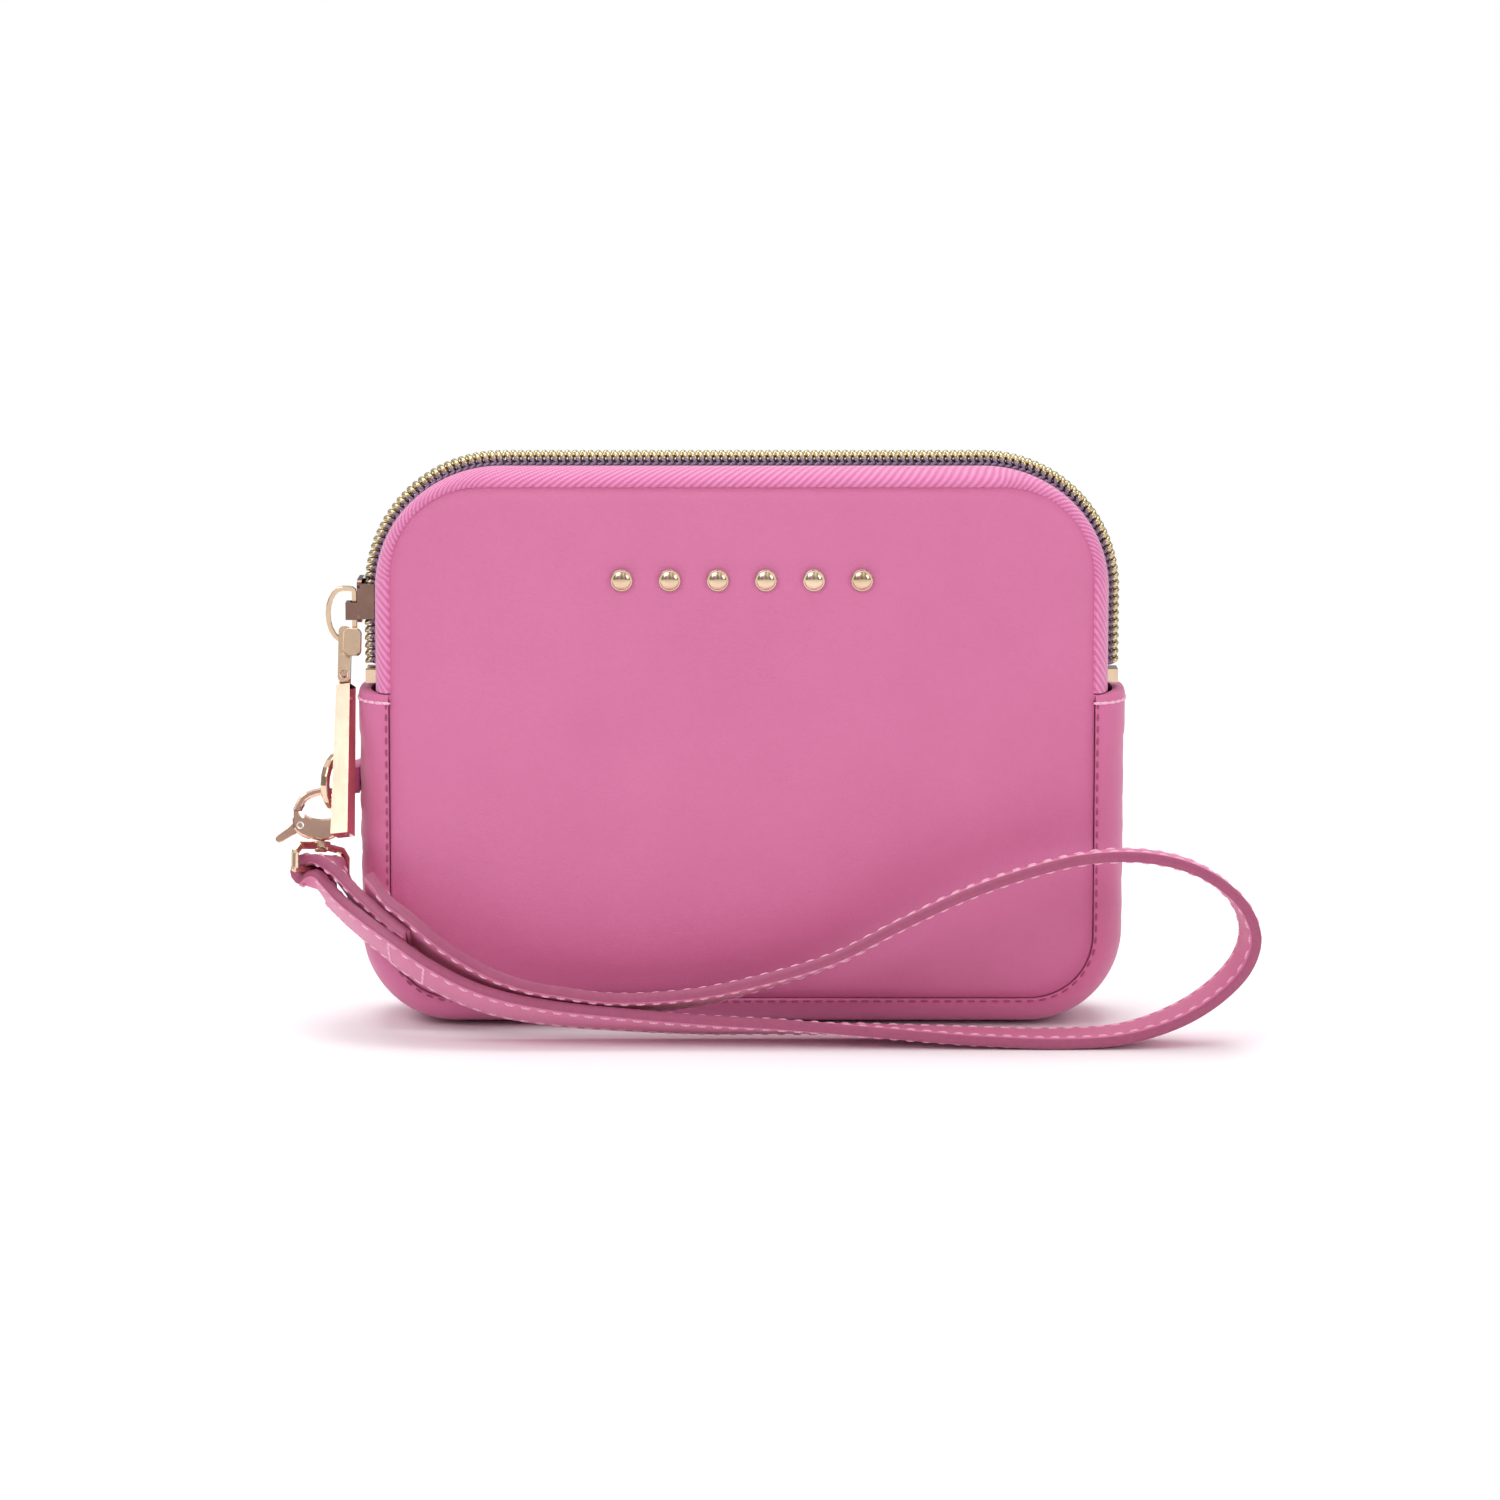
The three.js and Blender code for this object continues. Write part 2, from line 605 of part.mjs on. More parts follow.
const tabHalf = attachHeight / 2 - attachRadius - 1.9;
function tabShape() {
  const wall = -(seamHalf + gussetBulge) - clearance;
  const depth = halfDepth(attachZ);
  const shape = new THREE.Shape();
  const loopX = attachX;
  shape.absarc(loopX, attachY, tabOuter, -Math.PI / 2, Math.PI * 0.62, true);
  shape.lineTo(wall - 1.7, attachY + 3.6);
  shape.lineTo(wall - 1.6, depth * 0.46);
  shape.lineTo(wall + gussetBulge * 0.22 - 1.5, depth * 0.8);
  shape.lineTo(wall + gussetBulge * 0.62 - 1.3, depth + 0.5);
  shape.lineTo(wall + gussetBulge * 0.62 - 0.1, depth * 0.95);
  shape.lineTo(wall + gussetBulge * 0.22, depth * 0.76);
  shape.lineTo(wall, depth * 0.42);
  shape.lineTo(wall, attachY - 1);
  const bore = new THREE.Path();
  bore.absarc(loopX, attachY, tabBore, 0, 2 * Math.PI, false);
  shape.holes.push(bore);
  return shape;
}
const tab = new THREE.ExtrudeGeometry(tabShape(), {
  depth: 2 * tabHalf,
  bevelEnabled: false,
  curveSegments: 10,
});
tab.translate(0, 0, attachZ - tabHalf);
addMesh("attachment_tab", tab, gussetLeather);

// ---------------------------------------------------------------- clasp
// The clasp's own frame has its origin where the hook crosses the ring's lower wire.
const turned = radians(attachTurn);
const crossing = 5.2; // along the ring's lower wire
const claspX = attachX - crossing * Math.cos(turned) + 0.9;
const claspY = attachY - crossing * Math.sin(turned);
const claspZ = attachZ - attachHeight / 2;
const clasp = new THREE.Group();
clasp.position.set(claspX, claspY, claspZ);
clasp.rotation.x = -radians(claspLean);
wallet.add(clasp);

const smooth = (points, shape = new THREE.Shape()) => {
  const curve = new THREE.SplineCurve(points.map(([x, z]) => new THREE.Vector2(x, z)));
  const outline = curve.getPoints(points.length * 2).slice(0, -1);
  shape.setFromPoints(THREE.ShapeUtils.isClockWise(outline) ? outline.reverse() : outline);
  return shape;
};
const hookOutline = smooth([
  [-8.9, -0.3], [-7.4, 2.6], [-4.6, 3.9], [-1.6, 4.1], [1.4, 3.2], [2.9, 0.6], [2.2, -2.0],
  [0.2, -3.6], [-0.8, -5.8], [-3.6, -6.2], [-6.6, -5.6], [-8.6, -4.2], [-9.0, -2.2], [-8.9, -0.3],
]);
hookOutline.holes.push(
  smooth([
    [-7.4, -0.5], [-6.2, 1.6], [-4.0, 2.6], [-1.4, 2.75], [0.7, 2.0], [1.6, 0.4], [1.0, -1.4],
    [-1.6, -1.9], [-4.0, -2.0], [-5.6, -1.6], [-7.4, -0.5],
  ], new THREE.Path()),
);
const claspHalf = claspThickness / 2;
const gateX = -7.4;
const gateZ = -3.3;
const gatePinRadius = 0.45;
const gateHalf = 0.55;
const swivelX = -3.4;
const postRadius = 0.6;
const postTop = -4.9;
const collarTop = -6.5;
const collarHeight = 1.2;
const postHead = collarTop - collarHeight - clearance;
const gateSlot = box([-13, -gateHalf - clearance, gateZ - 3.4], [-5.6, gateHalf + clearance, 0.9]);
const hookGap = box([-13, -claspThickness, -1.9], [-6.6, claspThickness, -0.3]);
const gatePinTool = rodY(gatePinRadius + 0.3, gateX, gateZ, -4, 4, 12);
const postBore = new THREE.CylinderGeometry(postRadius + 0.3, postRadius + 0.3, 4, 12)
  .rotateX(Math.PI / 2)
  .translate(swivelX, 0, postTop - 1.7);
addMesh(
  "clasp_body",
  cut(plate(hookOutline, -claspHalf, claspHalf, 0.4), gateSlot, hookGap, gatePinTool, postBore),
  roseGold,
  clasp,
);
// Gate: a nose that closes the hook, and a thumb lever outside it.
const gateShape = smooth([
  [-6.4, -2.7], [-6.4, -3.9], [-7.6, -4.5], [-9.6, -5.6], [-11.5, -6.7], [-12.3, -6.1],
  [-11.9, -5.1], [-10.0, -3.7], [-8.9, -2.4], [-8.75, 0.2], [-8.0, 0.5], [-7.6, -1.2],
  [-6.4, -2.7],
]);
addMesh("clasp_gate", cut(plate(gateShape, -gateHalf, gateHalf, 0.15), gatePinTool), roseGold, clasp);
addMesh("gate_pin", rodY(gatePinRadius, gateX, gateZ, -claspHalf - 0.3, claspHalf + 0.3, 12),
  paleGold, clasp);
const spring = new THREE.LatheGeometry(
  [[0.75, -0.12], [1.0, -0.12], [1.0, 0.12], [0.75, 0.12], [0.75, -0.12]]
    .map(([r, h]) => new THREE.Vector2(r, h)),
  12,
);
spring.translate(gateX, claspHalf + 0.0, gateZ);
addMesh("gate_spring", spring.translate(0, 0.45, 0), springSteel, clasp);

// Swivel: a headed post in the foot of the clasp, and on it the ring that the strap turns on.
function turnedZ(profile, x, z, sides = 12) {
  const geometry = new THREE.LatheGeometry(
    profile.map(([radius, height]) => new THREE.Vector2(radius, height)), sides,
  );
  return geometry.rotateX(Math.PI / 2).translate(x, 0, z);
}
addMesh(
  "swivel_post",
  turnedZ([[0, -0.55], [0.9, -0.55], [1.3, -0.3], [1.3, 0], [postRadius, 0],
    [postRadius, postTop - postHead], [0, postTop - postHead]], swivelX, postHead),
  roseGold,
  clasp,
);

const ringFrame = new THREE.Group();
ringFrame.position.set(swivelX, 0, 0);
ringFrame.rotation.z = -radians(swivelTurn);
clasp.add(ringFrame);

const strapRingRadius = strapRingWire / 2;
const armY = strapWidth / 2 + clearance + 1.2 + strapRingRadius;
const armTop = collarTop - 0.8;
function limb(from, to, radius = strapRingRadius, sides = 8) {
  const start = new THREE.Vector3(...from);
  const end = new THREE.Vector3(...to);
  const rod = new THREE.CylinderGeometry(radius, radius, start.distanceTo(end), sides);
  rod.applyQuaternion(
    new THREE.Quaternion().setFromUnitVectors(
      new THREE.Vector3(0, 1, 0), end.clone().sub(start).normalize(),
    ),
  );
  return rod.translate(...start.add(end).multiplyScalar(0.5).toArray());
}
const knuckle = (at) => new THREE.SphereGeometry(strapRingRadius * 1.04, 8, 6).translate(...at);
const ringParts = [-1, 1].flatMap((sign) => {
  const neck = [0, sign * 1.5, armTop];
  const shoulder = [0, sign * (armY - 1.4), armTop - 0.4];
  const elbow = [0, sign * armY, armTop - 1.8];
  const foot = [0, sign * armY, strapBarZ];
  return [
    limb(neck, shoulder), limb(shoulder, elbow), limb(elbow, foot),
    knuckle(shoulder), knuckle(elbow), knuckle(foot),
  ];
});
const collar = turnedZ([[postRadius + 0.3, 0], [1.9, 0], [1.9, collarHeight],
  [postRadius + 0.3, collarHeight], [postRadius + 0.3, 0]], 0, collarTop - collarHeight);
addMesh(
  "strap_ring",
  cut(
    join(collar, ...ringParts, limb([0, -armY, strapBarZ], [0, armY, strapBarZ])),
    new THREE.CylinderGeometry(postRadius + 0.3, postRadius + 0.3, 4, 12)
      .rotateX(Math.PI / 2)
      .translate(0, 0, armTop),
    new THREE.CylinderGeometry(1.65, 1.65, 3, 12)
      .rotateX(Math.PI / 2)
      .translate(0, 0, collarTop - collarHeight - 1.5),
  ),
  paleGold,
  ringFrame,
);

// ---------------------------------------------------------------- wrist strap
// The middle of the strap: from the folded end up to the strap ring, round its bar, down along the
// floor, round at the right and back over to the lapped end. Each row is x, y, z and the roll in
// degrees of the width about the line of the strap. The route is set out for a strap 11 wide on an
// attachment ring at x -77.5. It moves with the ring, and a wider strap moves out along its bar.
const strapRoute = [
  [-64.6, -24.3, 18.8, -29], [-67.2, -22.9, 20.6, -28], [-71.3, -20.0, 23.6, -26],
  [-75.4, -16.4, 27.0, -20], [-78.9, -12.4, 30.4, -9],
  [-81.7, -9.5, 32.6, 3], [-82.9, -8.6, 32.6, -25], [-84.1, -8.0, 31.5, -38],
  [-84.5, -8.3, 29.8, -32], [-83.7, -9.2, 28.5, -7], [-82.4, -10.3, 28.0, 22],
  [-80.4, -12.4, 26.4, 25], [-77.4, -16.0, 24.2, 26], [-73.1, -20.4, 21.5, 28],
  [-68.9, -23.1, 18.9, 28], [-64.8, -25.0, 16.1, 30], [-60.4, -26.3, 13.5, 30],
  [-54.1, -27.3, 10.4, 30], [-46.9, -28.0, 8.0, 30], [-36.3, -28.1, 6.1, 28],
  [-24.6, -28.1, 5.0, 26], [-8.2, -27.9, 3.9, 22], [6, -27.8, 3.5, 17], [24, -27.6, 2.7, 9],
  [44, -27.5, 1.6, 2], [62, -27.5, 1.15, 0], [74, -27.5, 2.1, 0], [84.4, -27.5, 5.7, -3],
  [92.0, -27.5, 10.8, -5], [96.6, -27.5, 16.3, -7], [98.0, -27.6, 21.6, -8],
  [96.4, -27.5, 26.9, -6], [92.2, -27.5, 31.5, -5], [86.2, -27.5, 34.9, -5],
  [79, -27.5, 36.7, -6], [71.8, -27.5, 37.0, -7], [63.7, -27.6, 36.0, -9],
  [53.7, -27.6, 33.3, -9], [43.5, -27.6, 29.6, -9], [31, -27.6, 23.6, -10],
  [18, -27.7, 16.8, -13], [4, -27.7, 12.2, -16], [-9, -27.8, 9.2, -20], [-24.4, -28.0, 8.0, -24],
  [-34.3, -28.1, 8.9, -27], [-42.1, -28.1, 10.2, -28], [-50.0, -27.4, 12.9, -29],
  [-57.0, -26.4, 16.8, -29], [-61.4, -25.3, 19.9, -29], [-65.2, -23.3, 22.9, -28],
  [-69.0, -20.9, 25.6, -27], [-72.3, -18.3, 29.2, -25],
];

class StrapCurve extends THREE.CatmullRomCurve3 {
  constructor(route) {
    super(route.map(([x, y, z]) => new THREE.Vector3(x, y, z)));
    this.rolls = route.map((row) => radians(row[3]));
  }
  // Steps follow the route's points, which are closest where the bends are tight.
  getSpacedPoints(divisions) {
    return this.getPoints(divisions);
  }
  // Width direction towards the front, turned by the roll, and thickness direction.
  computeFrenetFrames(segments) {
    const frames = { tangents: [], normals: [], binormals: [] };
    for (let i = 0; i <= segments; i++) {
      const t = i / segments;
      const along = this.getTangent(t);
      const front = new THREE.Vector3(0, -1, 0);
      front.addScaledVector(along, -front.dot(along)).normalize();
      const inside = new THREE.Vector3().crossVectors(front, along);
      const spot = t * (this.rolls.length - 1);
      const low = Math.min(Math.floor(spot), this.rolls.length - 2);
      const roll = THREE.MathUtils.lerp(this.rolls[low], this.rolls[low + 1], spot - low);
      const width = front.multiplyScalar(Math.cos(roll)).addScaledVector(inside, Math.sin(roll));
      frames.tangents.push(along);
      frames.normals.push(width);
      frames.binormals.push(new THREE.Vector3().crossVectors(along, width));
    }
    return frames;
  }
}

function ply(innerSide) {
  const near = strapGlue / 2;
  const [low, high] = innerSide ? [-near - strapPly, -near] : [near, near + strapPly];
  const section = new THREE.Shape();
  section.moveTo(-strapWidth / 2, low);
  section.lineTo(strapWidth / 2, low);
  section.lineTo(strapWidth / 2, high);
  section.lineTo(-strapWidth / 2, high);
  section.closePath();
  const curve = new StrapCurve(strapRoute);
  return new THREE.ExtrudeGeometry(section, { steps: 3 * (strapRoute.length - 1), extrudePath: curve });
}
const strap = new THREE.Group();
strap.position.x = attachX + 77.5;
ringFrame.updateWorldMatrix(true, false);
const barOut = new THREE.Vector3(0, -1, 0).transformDirection(ringFrame.matrixWorld);
strap.position.addScaledVector(barOut, 0.3 * (strapWidth - 11));
wallet.add(strap);
addMesh("strap_outer_ply", ply(false), strapLeather, strap);
addMesh("strap_inner_ply", ply(true), strapLeather, strap);

export default wallet;
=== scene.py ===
"""Looks of the zip-round wristlet wallet: leather body, zip, hardware and wrist strap.

Lengths are in millimetres until they are laid into a mesh, which is in metres. The row frame is
+Z up, the front of the wallet towards -Y, the width along X.
"""
import logging
import math
from dataclasses import dataclass, field
from enum import Enum
from typing import Callable, Iterable, Sequence

import bmesh
import bpy
import numpy as np
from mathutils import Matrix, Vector, noise


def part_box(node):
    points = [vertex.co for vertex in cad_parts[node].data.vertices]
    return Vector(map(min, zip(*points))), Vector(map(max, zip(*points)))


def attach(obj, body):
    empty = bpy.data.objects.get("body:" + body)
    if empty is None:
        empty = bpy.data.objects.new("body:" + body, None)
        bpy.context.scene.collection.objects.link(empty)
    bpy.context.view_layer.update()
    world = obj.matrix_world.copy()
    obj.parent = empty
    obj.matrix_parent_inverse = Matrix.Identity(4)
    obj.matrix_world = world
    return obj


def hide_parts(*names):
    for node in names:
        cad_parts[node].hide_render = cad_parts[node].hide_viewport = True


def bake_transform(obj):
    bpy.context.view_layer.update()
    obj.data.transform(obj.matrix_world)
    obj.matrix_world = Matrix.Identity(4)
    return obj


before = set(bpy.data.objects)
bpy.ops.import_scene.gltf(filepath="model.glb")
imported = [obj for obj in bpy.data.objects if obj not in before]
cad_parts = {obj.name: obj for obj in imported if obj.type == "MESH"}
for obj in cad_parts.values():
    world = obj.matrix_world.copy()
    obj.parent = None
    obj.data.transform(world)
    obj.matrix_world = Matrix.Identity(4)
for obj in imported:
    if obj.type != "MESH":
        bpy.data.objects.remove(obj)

logging.basicConfig(level=logging.INFO, format="%(message)s")
LOG = logging.getLogger("wallet")
MM = 0.001
Place = Callable[[float, float], tuple[float, float, float]]


class Side(Enum):
    """Which half of the wallet a piece is on."""

    FRONT = -1
    REAR = 1

    @property
    def label(self) -> str:
        """The word that node names start with."""
        return self.name.lower()

    @property
    def body(self) -> str:
        """The CAD body of the pieces sewn to this side."""
        return "front" if self is Side.FRONT else "root"


@dataclass(frozen=True)
class Sizes:
    """Driving sizes of the wallet, the same as the solid model's."""

    body_width: float = 150.0
    body_height: float = 112.5
    seam_depth: float = 30.0
    top_depth: float = 22.0
    gusset_bulge: float = 6.3
    tape_rise: float = 5.9
    seam_top_radius: float = 18.0
    seam_bottom_radius: float = 12.5
    coil_radius: float = 27.0
    gusset_top: float = 66.0
    hem: float = 8.0
    crown: float = 3.5
    clearance: float = 0.3
    leather: float = 1.3
    board: float = 1.0
    lining: float = 0.5
    coil_height: float = 2.3
    coil_half: float = 2.8
    coil_split: float = 0.9
    split_foot: float = 84.55
    split_top: float = 89.05
    strap_width: float = 11.0
    strap_ply: float = 0.85
    strap_glue: float = 0.36

    @property
    def seam_half(self) -> float:
        """Half the width between the seams."""
        return self.body_width / 2 - self.gusset_bulge

    @property
    def seam_foot(self) -> float:
        """Height of the bottom seam."""
        return self.gusset_bulge

    @property
    def seam_top(self) -> float:
        """Height of the top seam."""
        return self.body_height - self.tape_rise

    @property
    def coil_half_width(self) -> float:
        """Half the width over the coil."""
        return self.seam_half + self.tape_rise - 0.6

    def half_depth(self, z: float) -> float:
        """Half the depth between the seams.

        Args:
            z: height above the underside.

        Returns:
            The distance from the middle plane to either seam.
        """
        share = (z - self.seam_foot) / (self.seam_top - self.seam_foot)
        return (self.seam_depth + (self.top_depth - self.seam_depth) * share) / 2

    def crown_at(self, x: float, z: float) -> float:
        """How far a panel's middle swells beyond its seams at a point of the front view."""
        across = min(abs(x) / self.seam_half, 1)
        height = self.seam_top - self.seam_foot
        along = min(abs(2 * z - self.seam_foot - self.seam_top) / height, 1)
        return self.crown * (1 - across**3) * (1 - along**3)


SIZES = Sizes()


def smooth_step(low: float, high: float, value: float) -> float:
    """Smooth ramp from 0 at low to 1 at high."""
    t = min(max((value - low) / (high - low), 0.0), 1.0)
    return t * t * (3 - 2 * t)


def ripple(x: float, y: float, z: float, scale: float, seed: float = 0.0) -> float:
    """Smooth random value from about -1 to 1; scale is the size of a ripple in millimetres."""
    return noise.noise(Vector((x / scale + seed, y / scale, z / scale)))


# ---------------------------------------------------------------- finishes
def linear(red: int, green: int, blue: int) -> tuple[float, float, float, float]:
    """Display colour, each from 0 to 255, as scene-linear RGBA."""
    def one(v: float) -> float:
        v /= 255
        return v / 12.92 if v <= 0.04045 else ((v + 0.055) / 1.055) ** 2.4
    return (one(red), one(green), one(blue), 1.0)


class NodeTree:
    """Adds and links shader nodes of one material."""

    def __init__(self, name: str) -> None:
        self.material = bpy.data.materials.new(name)
        self.material.use_nodes = True
        self.tree = self.material.node_tree
        self.shader = self.tree.nodes["Principled BSDF"]
        self.coordinates = self.tree.nodes.new("ShaderNodeTexCoord")

    def add(self, kind: str, settings: dict | None = None, **inputs) -> bpy.types.Node:
        """Adds a node.

        Args:
            kind: node type without the ShaderNode prefix.
            settings: properties of the node itself.
            inputs: sockets by name with _ for a space; a value or an output socket.

        Returns:
            The node.
        """
        node = self.tree.nodes.new("ShaderNode" + kind)
        for key, value in (settings or {}).items():
            setattr(node, key, value)
        for key, value in inputs.items():
            socket = node.inputs[key.replace("_", " ")]
            if isinstance(value, bpy.types.NodeSocket):
                self.tree.links.new(value, socket)
            else:
                socket.default_value = value
        return node

    def math(self, operation: str, a, b=0.0, c=0.0) -> bpy.types.NodeSocket:
        """Math node on numbers or sockets; returns its output."""
        node = self.tree.nodes.new("ShaderNodeMath")
        node.operation = operation
        for socket, value in zip(node.inputs, (a, b, c)):
            if isinstance(value, bpy.types.NodeSocket):
                self.tree.links.new(value, socket)
            else:
                socket.default_value = value
        return node.outputs[0]

    def ramp(self, factor, low: float, high: float) -> bpy.types.NodeSocket:
        """Maps 0..1 to low..high."""
        return self.add("MapRange", Value=factor, To_Min=low, To_Max=high).outputs["Result"]

    def mix(self, factor, a, b) -> bpy.types.NodeSocket:
        """Mixes two colours."""
        node = self.tree.nodes.new("ShaderNodeMix")
        node.data_type = "RGBA"
        for index, value in ((0, factor), (6, a), (7, b)):
            if isinstance(value, bpy.types.NodeSocket):
                self.tree.links.new(value, node.inputs[index])
            else:
                node.inputs[index].default_value = value
        return node.outputs[2]

    def bump(self, height, strength: float, distance: float, normal=None) -> bpy.types.NodeSocket:
        """Bump node, optionally on top of another one."""
        node = self.add("Bump", Height=height, Strength=strength, Distance=distance)
        if normal is not None:
            self.tree.links.new(normal, node.inputs["Normal"])
        return node.outputs["Normal"]

    def finish(self, **inputs) -> bpy.types.Material:
        """Sets the shader's inputs and returns the material."""
        for key, value in inputs.items():
            socket = self.shader.inputs[key.replace("_", " ")]
            if isinstance(value, bpy.types.NodeSocket):
                self.tree.links.new(value, socket)
            else:
                socket.default_value = value
        return self.material

    @property
    def place(self) -> bpy.types.NodeSocket:
        """Object coordinates, in metres."""
        return self.coordinates.outputs["Object"]

    @property
    def cloth(self) -> bpy.types.NodeSocket:
        """The piece's own map, in metres along and across the cloth."""
        return self.coordinates.outputs["UV"]


@dataclass(frozen=True)
class Leather:
    """Fine-grained coloured leather."""

    name: str
    light: tuple[float, float, float, float]
    dark: tuple[float, float, float, float]
    grain: float = 1500.0
    relief: float = 0.00007
    roughness: float = 0.46

    def build(self) -> bpy.types.Material:
        """Makes the material: pebbled grain, pores, cloudy colour and worn, shinier high spots."""
        t = NodeTree(self.name)
        cells = t.add("TexVoronoi", {"feature": "DISTANCE_TO_EDGE"}, Vector=t.place, Scale=self.grain)
        pores = t.add("TexNoise", Vector=t.place, Scale=self.grain * 2.4, Detail=3.0)
        cloud = t.add("TexNoise", Vector=t.place, Scale=38.0, Detail=4.0, Roughness=0.55)
        fibre = t.add("TexNoise", Vector=t.place, Scale=420.0, Detail=2.0)
        valley = t.add("MapRange", Value=cells.outputs["Distance"], From_Max=0.12).outputs["Result"]
        tone = t.mix(t.ramp(cloud.outputs[0], 0.15, 0.85),
                     self.dark, self.light)
        tone = t.mix(t.ramp(valley, 0.16, 0.0), tone, self.dark)
        rough = t.ramp(fibre.outputs[0], self.roughness - 0.07, self.roughness + 0.09)
        relief = t.bump(valley, 0.35, self.relief)
        relief = t.bump(pores.outputs[0], 0.25, self.relief * 0.7, relief)
        relief = t.bump(fibre.outputs[0], 0.18, self.relief * 2.2, relief)
        return t.finish(Base_Color=tone, Roughness=rough, Normal=relief, IOR=1.46,
                        Sheen_Weight=0.12, Sheen_Roughness=0.4)


@dataclass(frozen=True)
class Metal:
    """Polished plated metal with fine wear."""

    name: str
    light: tuple[float, float, float, float]
    dark: tuple[float, float, float, float]
    roughness: float = 0.12

    def build(self) -> bpy.types.Material:
        """Makes the material: warm tint that varies, faint brushing and handling marks."""
        t = NodeTree(self.name)
        cloud = t.add("TexNoise", Vector=t.place, Scale=160.0, Detail=3.0)
        stretched = t.add("Mapping", Vector=t.place, Scale=(1.0, 1.0, 0.12))
        brush = t.add("TexNoise", Vector=stretched.outputs[0], Scale=5200.0, Detail=2.0)
        marks = t.add("TexVoronoi", {"feature": "DISTANCE_TO_EDGE"}, Vector=t.place, Scale=260.0)
        mark = t.add("MapRange", Value=marks.outputs["Distance"], From_Max=0.015).outputs["Result"]
        tone = t.mix(t.ramp(cloud.outputs[0], 0.0, 1.0), self.dark, self.light)
        rough = t.math("ADD", t.ramp(brush.outputs[0], self.roughness - 0.04, self.roughness + 0.08),
                       t.ramp(mark, 0.1, 0.0))
        relief = t.bump(brush.outputs[0], 0.12, 0.00001)
        relief = t.bump(cloud.outputs[0], 0.1, 0.00008, relief)
        return t.finish(Base_Color=tone, Metallic=1.0, Roughness=rough, Normal=relief)


@dataclass(frozen=True)
class Cloth:
    """Woven cloth: a diagonal twill or a plain weave, along the piece's own map."""

    name: str
    light: tuple[float, float, float, float]
    dark: tuple[float, float, float, float]
    pitch: float = 1.1
    slant: float = 1.0
    # purple-grey for the cloth under the coil: partly the coil thread's colour, partly painted shade
    thread_tint_and_shade: tuple[float, float, float, float] | None = None

    def build(self) -> bpy.types.Material:
        """Makes the material; the optional last colour goes on the cloth under the coil and its threads:
        purple-grey, partly the coil thread's colour and partly painted shade under the coil.
        """
        t = NodeTree(self.name)
        split = t.add("SeparateXYZ", Vector=t.cloth)
        along, across = split.outputs[0], split.outputs[1]
        wave = 2 * math.pi / (self.pitch * MM)
        slanted = t.math("ADD", along, t.math("MULTIPLY", across, self.slant))
        rib = t.math("SINE", t.math("MULTIPLY", slanted, wave))
        pick = t.math("SINE", t.math("MULTIPLY", t.math("SUBTRACT", along, across), wave * 2.6))
        rib01 = t.math("MULTIPLY_ADD", rib, 0.5, 0.5)
        pick01 = t.math("MULTIPLY_ADD", pick, 0.5, 0.5)
        height = t.math("ADD", t.math("MULTIPLY", rib01, 0.75), t.math("MULTIPLY", pick01, 0.25))
        fuzz = t.add("TexNoise", Vector=t.place, Scale=5200.0, Detail=2.0)
        cloud = t.add("TexNoise", Vector=t.place, Scale=90.0, Detail=2.0)
        tone = t.mix(height, self.dark, self.light)
        tone = t.mix(t.ramp(cloud.outputs[0], 0.0, 0.25), tone, self.dark)
        # painted shade: the cloth under the coil and its threads turns purple-grey, partly the thread's
        # colour and partly shade painted in
        if self.thread_tint_and_shade is not None:
            edge = t.add("MapRange", Value=across, From_Min=0.0042, From_Max=0.0048).outputs["Result"]
            tone = t.mix(edge, self.thread_tint_and_shade, tone)
        relief = t.bump(height, 0.75, 0.00022)
        relief = t.bump(fuzz.outputs[0], 0.3, 0.00005, relief)
        return t.finish(Base_Color=tone, Roughness=t.ramp(fuzz.outputs[0], 0.72, 0.92), Normal=relief,
                        Sheen_Weight=0.3, Sheen_Roughness=0.5)


@dataclass(frozen=True)
class Thread:
    """Twisted sewing thread."""

    name: str
    light: tuple[float, float, float, float]
    dark: tuple[float, float, float, float]

    def build(self) -> bpy.types.Material:
        """Makes the material: plies that wind along the thread."""
        t = NodeTree(self.name)
        ply = t.add("TexWave", {"bands_direction": "DIAGONAL"}, Vector=t.place, Scale=1100.0,
                    Distortion=1.5)
        fuzz = t.add("TexNoise", Vector=t.place, Scale=6000.0)
        tone = t.mix(ply.outputs[1], self.dark, self.light)
        relief = t.bump(ply.outputs[1], 0.5, 0.00006)
        return t.finish(Base_Color=tone, Normal=relief,
                        Roughness=t.ramp(fuzz.outputs[0], 0.5, 0.75))


@dataclass(frozen=True)
class EdgePaint:
    """Thick glossy paint on a cut leather edge, also used for fibre board with a coarse speckle."""

    name: str
    light: tuple[float, float, float, float]
    dark: tuple[float, float, float, float]
    roughness: float = 0.4
    speckle: float = 900.0

    def build(self) -> bpy.types.Material:
        """Makes the material: uneven coat with small lumps."""
        t = NodeTree(self.name)
        lumps = t.add("TexNoise", Vector=t.place, Scale=self.speckle, Detail=4.0)
        cloud = t.add("TexNoise", Vector=t.place, Scale=120.0, Detail=2.0)
        tone = t.mix(t.ramp(lumps.outputs[0], 0.1, 0.9), self.dark, self.light)
        tone = t.mix(t.ramp(cloud.outputs[0], 0.0, 0.3), tone, self.dark)
        relief = t.bump(lumps.outputs[0], 0.35, 0.0001)
        return t.finish(Base_Color=tone, Normal=relief,
                        Roughness=t.ramp(lumps.outputs[0], self.roughness - 0.08, self.roughness + 0.15))


